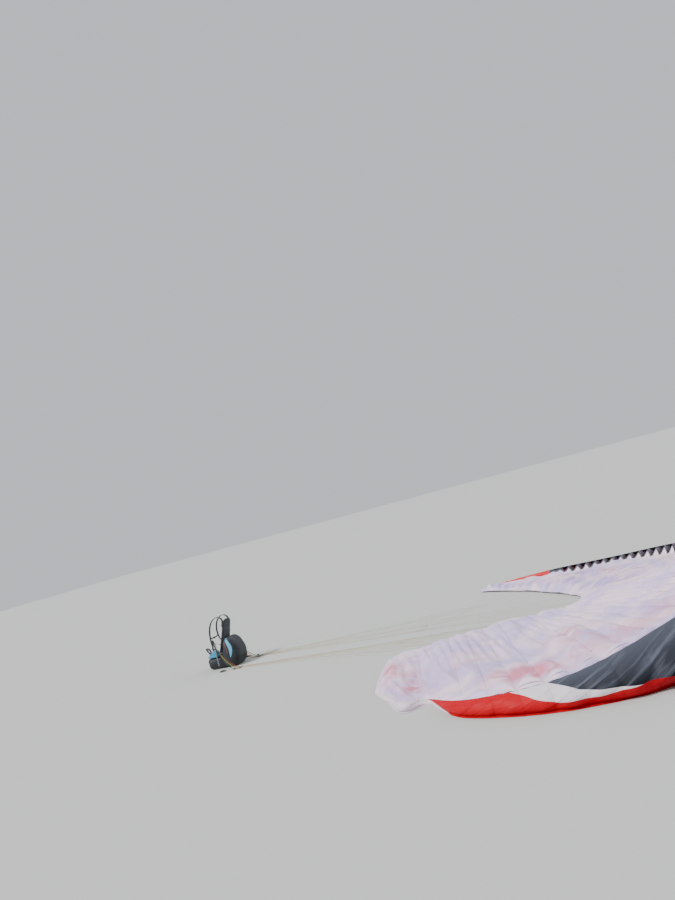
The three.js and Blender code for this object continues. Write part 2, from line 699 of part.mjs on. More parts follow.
function pulleyHousing(side) {
  const cheek = (z) => new THREE.BoxGeometry(CHEEK_WIDTH, 2 * CHEEK.halfLength, CHEEK.thickness)
    .translate(side * (CHEEK.outer + CHEEK.inner) / 2, PULLEY.y, z);
  const strapEdge = STRAPS[2][1] + RISER.width / 2 + GAP;
  const spineWidth = CHEEK.inner + CHEEK.lap - strapEdge;
  const spineX = side * (strapEdge + spineWidth / 2);
  const cap = 2 * (CHEEK.gap + CHEEK.thickness);
  const spine = new THREE.BoxGeometry(spineWidth, 2 * CHEEK.halfLength, cap);
  spine.translate(spineX, PULLEY.y, PULLEY.z);
  const footHeight = PULLEY.z - CHEEK.lap;
  const foot = new THREE.BoxGeometry(spineWidth, 2 * CHEEK.halfLength, footHeight);
  foot.translate(spineX, PULLEY.y, CHEEK.lap + footHeight / 2);
  const pin = new THREE.CylinderGeometry(PULLEY.pin, PULLEY.pin, cap - 1, 12).rotateX(Math.PI / 2);
  pin.translate(side * PULLEY.x, PULLEY.y, PULLEY.z);
  const offset = CHEEK.gap + CHEEK.thickness / 2;
  return join([cheek(PULLEY.z - offset), cheek(PULLEY.z + offset), spine, foot, pin]);
}

function pulleyWheel(side) {
  const bore = PULLEY.pin + PULLEY.clearance;
  const profile = [
    [bore, -PULLEY.halfWheel], [PULLEY.wheel, -PULLEY.halfWheel], [PULLEY.wheel, -2.6],
    [PULLEY.groove, -1], [PULLEY.groove, 1], [PULLEY.wheel, 2.6],
    [PULLEY.wheel, PULLEY.halfWheel], [bore, PULLEY.halfWheel], [bore, -PULLEY.halfWheel],
  ].map(([r, z]) => new THREE.Vector2(r, z));
  const wheel = new THREE.LatheGeometry(profile, 16).rotateX(Math.PI / 2);
  return wheel.translate(side * PULLEY.x, PULLEY.y, PULLEY.z);
}

// Brake handle: a flat loop on the ground, with the straight end of its line through the pulley
const HANDLE = {
  y: -262, length: 115, halfWidth: 50, halfHead: 9, crotch: 38, band: 22, corner: 30,
  thickness: 20, floor: 2,
};
const BRAKE_PULL = 300;
const CORD_SPARE = 40;
const CORD_END = PULLEY.y - BRAKE_PULL - CORD_SPARE;

function brakeHandle(side) {
  const { length, halfWidth, halfHead, corner, band } = HANDLE;
  const outline = new THREE.Shape();
  outline.moveTo(-halfHead, 0);
  outline.lineTo(halfHead, 0);
  outline.lineTo(halfWidth, length - corner);
  outline.quadraticCurveTo(halfWidth, length, halfWidth - corner, length);
  outline.lineTo(corner - halfWidth, length);
  outline.quadraticCurveTo(-halfWidth, length, -halfWidth, length - corner);
  const hole = new THREE.Path();
  hole.moveTo(0, HANDLE.crotch);
  hole.lineTo(halfWidth - band, length - band);
  hole.lineTo(band - halfWidth, length - band);
  outline.holes.push(hole);
  return extrude(outline, HANDLE.thickness).translate(side * CORD_X, HANDLE.y, HANDLE.floor);
}

SIDES.forEach(([name, side]) => {
  addPiece(`brake_pulley_${name}`, atHarness(pulleyHousing(side)), PLASTIC);
  addPiece(`brake_wheel_${name}`, atHarness(pulleyWheel(side)), ALLOY);
  addPiece(`brake_handle_${name}`, atHarness(brakeHandle(side)), HARNESS_DARK);
  const cord = new THREE.CylinderGeometry(BRAKE_LINE, BRAKE_LINE, HANDLE.y - GAP - CORD_END, 8);
  cord.translate(side * CORD_X, (HANDLE.y - GAP + CORD_END) / 2, PULLEY.z);
  addPiece(`brake_cord_${name}`, atHarness(cord), lineFinish('brake'));
});

// Lines: each row's main lines leave one knot at the quick link, cross the ground, come up over
// the trailing edge and run forward along their ribs to a sewn tab.
const LINE_RADIUS = 1.25;
const LINE_SIDES = 5;
const LIFT = 26;
const TAB = { radius: 2.2, clearance: 1.5 };
const KNOT = { head: 4, foot: 3, length: 16 };
const FORK_RADIUS = 4;
const FORK_SHARE = 0.3;
const LEAVES_GROUND = 320;
// Shares of the way over the ground at which the lines are given their height
const GROUND_STEPS = [0.02, 0.45, 0.8];
const BRAKE_STEPS = [0.02, 0.5];
// Columns: row, place in the lower skin's list of chord shares, ribs out from the centre,
// height at which the row crosses the others on the ground.
const LINE_ROWS = [
  ['a', 2, [4, 9, 15], 0],
  ['b', 4, [5, 10, 16], 5],
  ['c', 5, [2, 7, 13], 10],
];
const BRAKE_RIBS = [6, 11, 17, 19];
const BRAKE_LEVEL = 16;
const RIGHT_LEVEL = 21;

// The top of the lower skin over one rib, at one of the chord shares
function clothTop(rib, place) {
  const section = sectionAt(rib);
  const point = lowerOutline(rib, section)[place];
  return placeOn(section, point.x, point.y + LOWER_CLOTH);
}

// The way from the ground before the trailing edge, up and forward over the rib
function overWing(rib, place, level, from) {
  const edge = LOWER_SHARES.length - 1;
  const trail = clothTop(rib, edge);
  const ahead = from.clone().sub(trail).setLength(LEAVES_GROUND).add(trail);
  const route = [ahead.setZ(GROUND_Z + level + trail.z * 0.2), trail.clone().setZ(trail.z + LIFT + level)];
  for (let k = edge - 1; k >= place; k -= 1) {
    const point = clothTop(rib, k);
    route.push(point.setZ(point.z + LIFT));
  }
  return route;
}

function tabAt(point, lift) {
  const height = lift - TAB.clearance + LINE_RADIUS;
  const tab = new THREE.CylinderGeometry(TAB.radius, TAB.radius, height, 6).rotateX(Math.PI / 2);
  return tab.translate(point.x, point.y, point.z + TAB.clearance + height / 2);
}

SIDES.forEach(([name, side]) => {
  LINE_ROWS.forEach(([row, place, ribs, level], index) => {
    const knotY = LINK_CENTRE - LINK.length / 2 - GAP;
    const start = HARNESS.clone().add(new THREE.Vector3(side * STRAPS[index][1], knotY, GROUND_Z + 0.5));
    const knot = new THREE.CylinderGeometry(KNOT.head, KNOT.foot, KNOT.length, 8);
    knot.translate(start.x, start.y - KNOT.length / 2, start.z);
    const solids = [knot];
    ribs.forEach((rib) => {
      const height = level + (side > 0 ? RIGHT_LEVEL : 0);
      const route = overWing(side * rib, place, height, start);
      const rest = GROUND_STEPS.map((t) => start.clone().lerp(route[0], t).setZ(GROUND_Z + height));
      const inKnot = start.clone().setY(start.y - KNOT.length * 0.6);
      solids.push(bar([inKnot, ...rest, ...route], LINE_RADIUS, LINE_SIDES));
      solids.push(tabAt(clothTop(side * rib, place), LIFT));
    });
    addPiece(`lines_${row}_${name}`, join(solids), lineFinish(row));
  });

  // The brake line fans out before it meets the trailing edge
  const start = HARNESS.clone().add(new THREE.Vector3(side * CORD_X, CORD_END - GAP, PULLEY.z));
  const height = BRAKE_LEVEL + (side > 0 ? RIGHT_LEVEL : 0);
  const fans = BRAKE_RIBS.map((rib) => overWing(side * rib, LOWER_SHARES.length - 1, height, start));
  const fork = fans[1][0].clone().lerp(start, FORK_SHARE).setZ(GROUND_Z + height + FORK_RADIUS);
  const rest = BRAKE_STEPS.map((t) => start.clone().lerp(fork, t).setZ(GROUND_Z + height));
  const solids = [bar([start, ...rest, fork], LINE_RADIUS, LINE_SIDES)];
  solids.push(new THREE.SphereGeometry(FORK_RADIUS, 8, 6).translate(fork.x, fork.y, fork.z));
  BRAKE_RIBS.forEach((rib, k) => {
    solids.push(bar([fork, ...fans[k]], LINE_RADIUS, LINE_SIDES));
    solids.push(tabAt(clothTop(side * rib, LOWER_SHARES.length - 1), LIFT + height));
  });
  addPiece(`lines_brake_${name}`, join(solids), lineFinish('brake'));
});

export default paraglider;
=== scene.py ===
"""Tandem paraglider laid out upside down in a horseshoe, with its lines, risers and pilot harness.

Metres, +Z up. The origin is on the ground under the wing's centre rib, 0.6 behind its nose, +Y
runs from the wing towards the harness, and +X towards the right wing tip.
"""

import bpy
import numpy as np
from mathutils import Matrix, Vector


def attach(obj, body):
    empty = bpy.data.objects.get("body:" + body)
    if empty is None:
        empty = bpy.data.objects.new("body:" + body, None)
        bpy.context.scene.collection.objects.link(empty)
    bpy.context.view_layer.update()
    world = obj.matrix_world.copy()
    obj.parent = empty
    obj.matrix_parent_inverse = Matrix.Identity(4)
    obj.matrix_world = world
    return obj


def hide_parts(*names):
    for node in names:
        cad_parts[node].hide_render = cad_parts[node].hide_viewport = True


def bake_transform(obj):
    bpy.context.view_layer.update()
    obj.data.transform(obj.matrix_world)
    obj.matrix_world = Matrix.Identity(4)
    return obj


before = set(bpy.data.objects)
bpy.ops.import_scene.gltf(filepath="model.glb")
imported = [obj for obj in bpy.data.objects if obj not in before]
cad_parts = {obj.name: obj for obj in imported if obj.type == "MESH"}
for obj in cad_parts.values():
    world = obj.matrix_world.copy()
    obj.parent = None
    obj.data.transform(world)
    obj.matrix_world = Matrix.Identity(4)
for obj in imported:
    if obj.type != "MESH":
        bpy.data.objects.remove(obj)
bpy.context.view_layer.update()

# Camera, floor and light
# A phone held at eye height on a slope looks across the wing, which lies outside the right edge of
# the picture for its middle part. The slope turns the camera about its own axis.
CAMERA_PLACE = Vector((-9.454, 0.799, 2.23))
CAMERA_RIGHT = Vector((0.4052, -0.875, -0.2651))
CAMERA_AHEAD = Vector((0.9137, 0.3977, 0.0838))

camera_data = bpy.data.cameras.new("camera")
camera_data.lens = 27.04
camera_data.sensor_width = 36.0
camera_data.clip_end = 500
camera = bpy.data.objects.new("camera", camera_data)
bpy.context.collection.objects.link(camera)
ahead = CAMERA_AHEAD.normalized()
right = (CAMERA_RIGHT - ahead * CAMERA_RIGHT.dot(ahead)).normalized()
up = right.cross(ahead)
camera.matrix_world = Matrix.Translation(CAMERA_PLACE) @ Matrix((right, up, -ahead)).transposed().to_4x4()
bpy.context.scene.camera = camera


def linear(hex_colour):
    """A colour given as sRGB hex, in linear light with full alpha."""
    channels = np.array([int(hex_colour[i:i + 2], 16) for i in (1, 3, 5)]) / 255
    low, high = channels / 12.92, ((channels + 0.055) / 1.055) ** 2.4
    return (*np.where(channels <= 0.04045, low, high), 1.0)


def add_node(tree, kind, settings=None, links=None):
    """Adds a node to a tree, sets its fields and sockets by name or number, and links its inputs.
    Its kind is given without the word ShaderNode, with which they all begin."""
    node = tree.nodes.new("ShaderNode" + kind)
    for name, value in (settings or {}).items():
        if isinstance(name, int) or name in node.inputs:
            node.inputs[name].default_value = value
        else:
            setattr(node, name, value)
    for name, source in (links or {}).items():
        tree.links.new(source, node.inputs[name])
    return node


def new_material(name):
    """A new material with its shader, ready for links."""
    material = bpy.data.materials.new(name)
    material.use_nodes = True
    return material, material.node_tree, material.node_tree.nodes["Principled BSDF"]


def mesh_piece(name, points, faces, body, uv=None, smooth=True, attributes=None, material=None):
    """A mesh object that rides on a body, or on none yet. uv holds one pair for each point. The
    border of an open mesh is marked sharp, so that its shading stays level there."""
    mesh = bpy.data.meshes.new(name)
    corners = faces if isinstance(faces, list) else faces.tolist()
    mesh.from_pydata(np.asarray(points).reshape(-1, 3).tolist(), [], corners)
    if uv is not None:
        layer = mesh.uv_layers.new(name="flat")
        owners = np.zeros(len(mesh.loops), dtype=np.int32)
        mesh.loops.foreach_get("vertex_index", owners)
        layer.data.foreach_set("uv", np.asarray(uv).reshape(-1, 2)[owners].ravel())
    for label, values in (attributes or {}).items():
        attribute = mesh.attributes.new(label, "FLOAT", "POINT")
        attribute.data.foreach_set("value", np.asarray(values, dtype=np.float32).ravel())
    mesh.polygons.foreach_set("use_smooth", np.full(len(mesh.polygons), smooth))
    borders = np.zeros(len(mesh.loops), dtype=np.int32)
    mesh.loops.foreach_get("edge_index", borders)
    mesh.edges.foreach_set("use_edge_sharp", np.bincount(borders, minlength=len(mesh.edges)) == 1)
    mesh.update()
    if material:
        mesh.materials.append(material)
    piece = bpy.data.objects.new(name, mesh)
    bpy.context.collection.objects.link(piece)
    if body:
        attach(piece, body)
    return piece


def grid_faces(rows, columns, around=False):
    """Quads of a grid of points, row after row. With around, the last column meets the first."""
    row, column = np.meshgrid(np.arange(rows - 1), np.arange(columns - (not around)), indexing="ij")
    beside = (column + 1) % columns
    quads = [row * columns + column, row * columns + beside,
             (row + 1) * columns + beside, (row + 1) * columns + column]
    return np.stack(quads, axis=-1).reshape(-1, 4)


FLOOR_HALF, FLOOR_Z = 150.0, -0.002
floor_corners = [(x * FLOOR_HALF, y * FLOOR_HALF, FLOOR_Z) for x, y in ((-1, -1), (1, -1), (1, 1), (-1, 1))]
floor = mesh_piece("floor", floor_corners, [(0, 1, 2, 3)], "root", smooth=False)
studio_floor, _, shader = new_material("studio_floor")
shader.inputs["Base Color"].default_value = linear("#c3c6c0")
shader.inputs["Roughness"].default_value = 0.9
floor.data.materials.append(studio_floor)

world = bpy.data.worlds.new("studio")
world.use_nodes = True
background = world.node_tree.nodes["Background"]
background.inputs["Color"].default_value = linear("#e3e8ee")
background.inputs["Strength"].default_value = 0.85
bpy.context.scene.world = world
# Columns: name, direction, strength, width of the light source in radians.
STUDIO_LIGHTS = (("key", (0.45, -0.5, -0.74), 3.3, 0.15), ("fill", (-0.5, 0.6, -0.6), 0.5, 1.0))
for name, aim, strength, spread in STUDIO_LIGHTS:
    light = bpy.data.lights.new(name, "SUN")
    light.energy = strength
    light.angle = spread
    lamp = bpy.data.objects.new(name, light)
    lamp.rotation_euler = Vector(aim).to_track_quat("-Z", "Y").to_euler()
    bpy.context.collection.objects.link(lamp)

# Upper cloth of the wing
# The wing lies on its upper skin of coated ripstop nylon, sewn from panels rib by rib. At the nose
# the skin stands up, kept open by rods in the ribs, and leans back over the wing to its lip.
HALF_CELLS = 21
OPEN_CELLS = 17
CELL_WIDTH = 0.31
CELL_STEPS = 16
CLOTH = 0.0012
TIP_REACH = {-1: 0.33, 1: 0.16}
# At the very tip: how round the chord runs out, and the shares that are gone of the left front
# corner, of the nose height and of the hem height.
TIP_ROUND, CORNER_CUT, NOSE_SINK, HEM_SINK = 0.96, 0.9, 0.9, 0.95
# The near arm's slack place: cell, width in cells, shares of the chord and of the height lost there.
SLACK_CELL, SLACK_WIDTH, SLACK_DRAW, SLACK_SAG = -19.6, 0.75, 0.17, 0.75
# Columns: nose x, nose y, trailing edge x, trailing edge y, nose height, lean of the lip over the
# wing, trailing edge height, share of the height that the lower skin drops behind its front edge.
# Rows: each sixth of a half span, from the left wing tip.
LAYOUT = np.array([
    [-2.80, 3.82, -1.12, 4.38, 0.10, 0.06, 0.15, 0],
    [-3.22, 2.82, -0.75, 3.65, 0.15, 0.10, 0.17, 0.1],
    [-3.30, 1.82, -0.30, 3.00, 0.27, 0.16, 0.17, 0.15],
    [-2.95, 0.82, -0.08, 2.55, 0.49, 0.29, 0.14, 0.2],
    [-2.18, 0.02, 0.20, 2.32, 0.64, 0.32, 0.10, 0.2],
    [-1.16, -0.46, 0.32, 2.20, 0.62, 0.32, 0.08, 0.3],
    [-0.05, -0.60, 0.40, 2.14, 0.54, 0.31, 0.06, 0.4],
    [1.04, -0.46, 0.56, 2.14, 0.43, 0.29, 0.05, 0.45],
    [2.06, -0.05, 0.88, 2.18, 0.32, 0.25, 0.05, 0.5],
    [2.88, 0.68, 1.28, 2.32, 0.25, 0.20, 0.05, 0.55],
    [3.14, 1.70, 1.82, 2.74, 0.19, 0.15, 0.05, 0.55],
    [3.32, 2.82, 2.46, 3.32, 0.15, 0.11, 0.05, 0.5],
    [3.36, 4.02, 3.12, 4.14, 0.07, 0.04, 0.04, 0.3],
])
BLOCKS = {"left_tip": (-21, -14), "left_outer": (-14, -8), "left_inner": (-8, -3), "centre": (-3, 3),
          "right_inner": (3, 8), "right_outer": (8, 14), "right_tip": (14, 21)}
# The nose's outline from its lip to the ground. Columns: share of the lean, share of the height
# inwards, share of the height upwards, share of the puff between ribs.
NOSE_OUTLINE = np.array([[1, 0, 1, 0], [0.45, 0, 0.8, 0.6], [0.08, 0, 0.5, 1], [0, 0.05, 0.24, 1],
                         [0, 0.22, 0.05, 0.4], [0, 0.42, 0, 0]])
# Behind the nose the outline goes through these shares of the chord, to the trailing edge.
GROUND_OUTLINE = np.array([0.4, 0.8, 1])
NOSE_FOOT = len(NOSE_OUTLINE) - 1
TRAILING_EDGE = NOSE_FOOT + len(GROUND_OUTLINE)
NOSE_SHARES = np.concatenate([np.linspace(0, NOSE_FOOT, 41), NOSE_FOOT + (TRAILING_EDGE - NOSE_FOOT)
                              * np.linspace(0, 1, 30)[1:] ** 1.1])
# Values that change along the span: cells, and the value at each.
TRAIL_HEIGHT = ([2, 7], [1, 0.25])
HEM_WAVING = ([0, 6], [1, 0.3])
# Height and length of the hem's waves, and how far its seam rises over them.
HEM_WAVE, HEM_WAVE_LENGTH, SEAM_RISE = 0.022, 0.55, 0.008
# How far a cell of the nose wall puffs out, and the share of it where the cells are closed.
CELL_PUFF, CLOSED_PUFF = 0.022, 0.4
# Relief of the nose wall where it is WALL_HEIGHT high: soft sags, fine sags, creases, its upper waves.
WALL_HEIGHT = 0.4
SOFT_SAG, FINE_SAG, WIDE_CREASE, NARROW_CREASE, WALL_WAVE = 0.012, 0.006, 0.020, 0.012, 0.012
# How rounded the bottoms of the creases are.
WIDE_ROUND, NARROW_ROUND = 0.01, 0.03
# Highest share of the room under the lower skin that the folds on the ground take, and their lumps.
FOLD_ROOM, GROUND_LUMP = 0.45, 0.004


def through(table, place):
    """Smooth values through the rows of a table at places counted in rows: a Catmull-Rom curve."""
    table = np.asarray(table, dtype=float)
    ends = np.vstack([2 * table[0] - table[1], table, 2 * table[-1] - table[-2]])
    i = np.clip(np.floor(place).astype(int), 0, len(table) - 2)
    t = (place - i)[:, None]
    a, b, c, d = (ends[i + k] for k in range(4))
    return 0.5 * (2 * b + (c - a) * t + (2 * a - 5 * b + 4 * c - d) * t ** 2
                  + (3 * b - a - 3 * c + d) * t ** 3)


def sections(cell):
    """How the wing's section lies at each cell number, in the columns of LAYOUT. At SLACK_CELL the
    nose sags and draws in. Beyond the last rib the chord shrinks to the tip, which is round but for
    the left one's front corner."""
    inside = np.clip(cell, -HALF_CELLS, HALF_CELLS)
    values = through(LAYOUT, (inside / HALF_CELLS + 1) * (len(LAYOUT) - 1) / 2)
    nose, trail, height, lean, low, drop = values[:, :2], values[:, 2:4], *values[:, 4:].T
    low = low * np.interp(cell, *TRAIL_HEIGHT)
    slack = np.exp(-((cell - SLACK_CELL) / SLACK_WIDTH) ** 2)
    nose = nose + (trail - nose) * SLACK_DRAW * slack[:, None]
    height = height * (1 - SLACK_SAG * slack)
    beyond = np.abs(cell) - HALF_CELLS
    for side in (-1, 1):
        out = (beyond > 0) & (np.sign(cell) == side)
        if not out.any():
            continue
        last = through(LAYOUT, np.array([side * (1 - 1 / HALF_CELLS) + 1]) * (len(LAYOUT) - 1) / 2)[0]
        middle = (nose[out] + trail[out]) / 2
        way = middle[0] - (last[:2] + last[2:4]) / 2
        step = beyond[out][:, None]
        shrink = np.sqrt(1 - (TIP_ROUND * step) ** 2)
        corner = 1 - CORNER_CUT * step if side < 0 else shrink
        middle = middle + way / np.linalg.norm(way) * TIP_REACH[side] * step
        half = (trail[out] - nose[out]) / 2
        nose[out], trail[out] = middle - half * corner, middle + half * shrink
        height[out] *= 1 - NOSE_SINK * step[:, 0] ** 2
        lean[out] *= shrink[:, 0]
        low[out] *= 1 - HEM_SINK * step[:, 0] ** 2
    return nose, trail, height, lean, low, drop


def place(nose, trail, inwards, upwards):
    """Points at a way inwards from the nose along each section, and up."""
    along = trail - nose
    along = along / np.linalg.norm(along, axis=1)[:, None]
    ground = nose[:, None, :] + along[:, None, :] * inwards[:, :, None]
    return np.concatenate([ground, upwards[:, :, None]], axis=2)


def ways(points):
    """The way from the start of a path, or of each row of a grid, to each of its points."""
    steps = np.linalg.norm(np.diff(points, axis=-2), axis=-1)
    return np.concatenate([0 * steps[..., :1], np.cumsum(steps, axis=-1)], axis=-1)


def waves(x, y, length, seed, count=9):
    """Soft random relief between about -1 and 1: a sum of sine waves of like length in random
    directions."""
    random = np.random.default_rng(seed)
    total = np.zeros(np.broadcast(x, y).shape)
    for angle, phase, stretch in random.random((count, 3)):
        angle = (angle - 0.5) * np.pi
        rate = 2 * np.pi / (length * (0.7 + 0.7 * stretch))
        total += np.sin(rate * (np.cos(angle) * x + np.sin(angle) * y) + 2 * np.pi * phase)
    return total / np.sqrt(count / 2) / 2


def closing(cell):
    """From 1 along the wing to 0 at the very tips, where the two skins meet."""
    return 1 - np.clip(np.abs(cell) - HALF_CELLS, 0, 1) ** 2


def hem(cell):
    """How high the trailing edge, where the two skins are sewn together, waves above the ground."""
    strength = HEM_WAVE * np.interp(cell, *HEM_WAVING) * closing(cell)
    return strength * (1 + waves(CELL_WIDTH * cell, 0 * cell, HEM_WAVE_LENGTH, seed=9))


def cell_stations(first, last):
    """Fine steps along the span for a block of cells, out to the round end of a tip."""
    cells = np.linspace(first, last, (last - first) * CELL_STEPS + 1)
    tip = HALF_CELLS + np.sin(np.linspace(0, np.pi / 2, 15))[1:]
    if first == -HALF_CELLS:
        return np.concatenate([-tip[::-1], cells])
    return np.concatenate([cells, tip]) if last == HALF_CELLS else cells


def is_open(cell):
    """From 1 where the cells have mouths to 0 where they are closed."""
    return np.clip(OPEN_CELLS + 0.5 - np.abs(cell), 0, 1)


def swell(cell):
    """How far a cell swells between its ribs: a half sine from rib to rib. Beside a seam between two
    blocks it is squared, so that the cloth runs level across the seam."""
    seams = np.array([ends[1] for ends in BLOCKS.values()])
    from_seam = np.abs(np.asarray(cell)[..., None] - seams).min(axis=-1)
    return np.abs(np.sin(np.pi * cell)) ** (1 + 1.5 * np.exp(-(from_seam / 0.45) ** 2))


def spare_cloth(nose, cell, points):
    """Height of a half sine that takes up the cloth between two ribs, where they lie closer
    together than the cloth was cut: two over pi times the root of w (W - w)."""
    spacing = np.linalg.norm(np.gradient(points[:, :, :2], cell, axis=0), axis=2)
    cut = np.linalg.norm(np.gradient(nose, cell, axis=0), axis=1)[:, None]
    return np.sqrt(np.maximum(spacing * (cut - spacing), 0)) * 2 / np.pi


def wall_creases(span, z):
    """Two sets of slanting creases in the nose wall: lowest in a crease, about 1 between two."""
    wide = waves(0.7 * span - 1.3 * z, 0.35 * span + 0.35 * z, 0.5, seed=21, count=8)
    narrow = waves(0.9 * span - 1.1 * z, 0.2 * span + 0.25 * z, 0.3, seed=44, count=8)
    return np.sqrt(wide ** 2 + WIDE_ROUND), np.sqrt(narrow ** 2 + NARROW_ROUND)


def middle_height(low, height, share):
    """Half way from the trailing edge's height up to the line from there to the nose."""
    return low[:, None] + (height - low)[:, None] * 0.5 * np.clip(1 - share, 0, 1)


def upper_skin(cell):
    """The upper skin as a grid of cell by way round the outline. The outline goes smoothly through
    the lip, the nose wall, the ground and the trailing edge. Each cell puffs out a little, and on the
    ground the spare cloth lies in folds under the lower skin."""
    nose, trail, height, lean, low, _ = sections(cell)
    chord = np.linalg.norm(trail - nose, axis=1)
    inwards = [NOSE_OUTLINE[:, 0] * k + NOSE_OUTLINE[:, 1] * h for k, h in zip(lean, height)]
    inwards = np.hstack([np.array(inwards), chord[:, None] * GROUND_OUTLINE])
    upwards = np.hstack([height[:, None] * NOSE_OUTLINE[:, 2], 0 * chord[:, None] * [1, 1],
                         low[:, None]])
    puff = through(np.append(NOSE_OUTLINE[:, 3], 0 * GROUND_OUTLINE)[:, None], NOSE_SHARES)[:, 0]
    swollen = CELL_PUFF * swell(cell) * (CLOSED_PUFF + (1 - CLOSED_PUFF) * is_open(cell))
    a = through(inwards.T, NOSE_SHARES).T - swollen[:, None] * puff
    z = through(upwards.T, NOSE_SHARES).T
    wall = np.clip(NOSE_SHARES / 1.5, 0, 1) * np.clip((NOSE_FOOT + 0.2 - NOSE_SHARES) / 1.5, 0, 1)
    wall = wall * height[:, None] / WALL_HEIGHT
    span = CELL_WIDTH * cell[:, None]
    sag = SOFT_SAG * waves(span, 1.5 * z, 0.6, seed=3)
    sag = sag + FINE_SAG * waves(span + z, 2.2 * z - span, 0.3, seed=12)
    wide, narrow = wall_creases(span, z)
    sag = sag - WIDE_CREASE * wide - NARROW_CREASE * narrow
    rise = WALL_WAVE * waves(span, 0 * z, 0.7, seed=5, count=7)
    points = place(nose, trail, a + sag * wall, z + rise * wall)
    room = FOLD_ROOM * middle_height(low, height, a / chord[:, None])
    fold = np.minimum(0.7 * spare_cloth(nose, cell, points), room) * np.sin(2 * np.pi * cell)[:, None] ** 2
    lumps = GROUND_LUMP * (1 + waves(span, a, 0.25, seed=6))
    back = np.clip((NOSE_SHARES - NOSE_FOOT) / 1.2, 0, 1) * np.clip((TRAILING_EDGE - NOSE_SHARES) / 0.7, 0, 1)
    points[:, :, 2] += back * (fold + lumps)
    sewn = np.clip(NOSE_SHARES - TRAILING_EDGE + 1, 0, 1) ** 2
    points[:, :, 2] += (hem(cell) + SEAM_RISE * closing(cell))[:, None] * sewn
    points[:, :, 2] = np.maximum(points[:, :, 2], CLOTH / 2)
    return points


# Lower cloth of the wing
# The lower skin, of the same nylon in white, looks up at the sky. At each rib and each half rib it
# runs up to the lip as a pointed tooth, and between the teeth are the mouths that let the air in.
# Share of the way back over which the skin drops behind its front edge, and how steep it slopes on.
DROP_END, SLOPE_POWER = 0.03, 1.25
LOWER_SHARES = np.concatenate([np.linspace(0, DROP_END, 9),
                               DROP_END + (1 - DROP_END) * np.linspace(0, 1, 66)[1:] ** 1.4])
# The front edge lies this far behind the lip, and the sewn edge this high over the upper skin's.
FRONT_GAP, LOWER_LIFT = 0.005, 0.010
# Along the span: how far the mouths gape, the near arm's mouths that are pressed shut, the share of the
# spare cloth that gathers in ridges, how much of a ridge and of the pleats is left at the hem, and how
# far the cells of the near arm bulge over the lip.
MOUTH_DEPTH = 0.085
GAPE = ([-17, -6, 0, 4], [0.1, 0.12, 0.6, 1])
SHUT_MOUTHS = ([-16.001, -16, -5, -4.999], [9, 0, 0, 9])
GATHER = ([-21, -13, -8, -4, 21], [0.25, 0.3, 0.6, 0.95, 0.8])
RIDGE_LEFT = ([-9, -5], [0.3, 1])
PLEATS_LEFT = ([-10, -6], [0.3, 1])
NEAR_LIP = ([-18, -16, -5, 0, 4], [0, 1, 1, 0.4, 0])
MOST_SPARE, PLEATED = 0.1, 0.85
SLIT_BOW, SLIT_BOW_MORE = 0.016, 0.045
SLIT_DEPTH, SLIT_WIDTH = 0.010, 0.012
PILLOW_DEPTH, PILLOW_HEIGHT, BULGE_HEIGHT = 0.15, 0.05, 0.03
LUMP, SMALL_LUMP, CREASE, CROSS_CREASE = 0.05, 0.018, 0.010, 0.008
# A fold across the near tip: height, width, share and cell that it goes through, slant.
TIP_FOLD, TIP_FOLD_WIDTH, TIP_FOLD_SHARE, TIP_FOLD_CELL, TIP_FOLD_SLANT = 0.05, 0.07, 0.12, -20.6, -0.32
BASE_PUFF = 0.006
UNDER_SHARE = 0.47


def cell_sizes(cell, least, most, seed):
    """A random size for each cell, the same wherever it is asked for."""
    return np.random.default_rng(seed).uniform(least, most, 64)[(np.floor(cell) + 32).astype(int)]


def mouth_slit(cell, way):
    """How far each point lies behind the slit of a mouth that is pressed shut, on the near arm. The
    slit bows back between two ribs. Along the rest of the wing every point is far from one."""
    bow = SLIT_BOW + SLIT_BOW_MORE * cell_sizes(cell, 0.3, 1, 14) * np.sqrt(swell(cell))
    return way - bow[:, None] + np.interp(cell, *SHUT_MOUTHS)[:, None]


def gathered(cell, share, a, spare, size):
    """The cloth that is spare between two ribs: a ridge in each cell, and slanting pleats where there
    is little ridge. Both get flatter toward the near hem."""
    patchy = np.clip(0.7 + 0.8 * waves(CELL_WIDTH * cell[:, None] + 0.5 * a, 0.8 * a, 1.1, seed=31), 0.2, 1.3)
    left = np.interp(cell, *RIDGE_LEFT)[:, None]
    ridge = (size * np.interp(cell, *GATHER))[:, None] * spare * np.clip(share * 6, 0, 1) * patchy
    ridge = ridge * (left + (1 - left) * np.clip((1 - share) * 3, 0, 1))
    slanting = np.sin(2 * np.pi * (cell[:, None] + 0.5 * a)) ** 2
    pleats = PLEATED * spare * slanting * np.clip(share * 2.5 - 0.5, 0, 1)
    pleats = pleats * np.clip(1.3 - patchy, 0.2, 1) * np.clip((1 - share) * 5, 0, 1)
    return ridge * swell(cell)[:, None] ** 0.8 + pleats * np.interp(cell, *PLEATS_LEFT)[:, None]


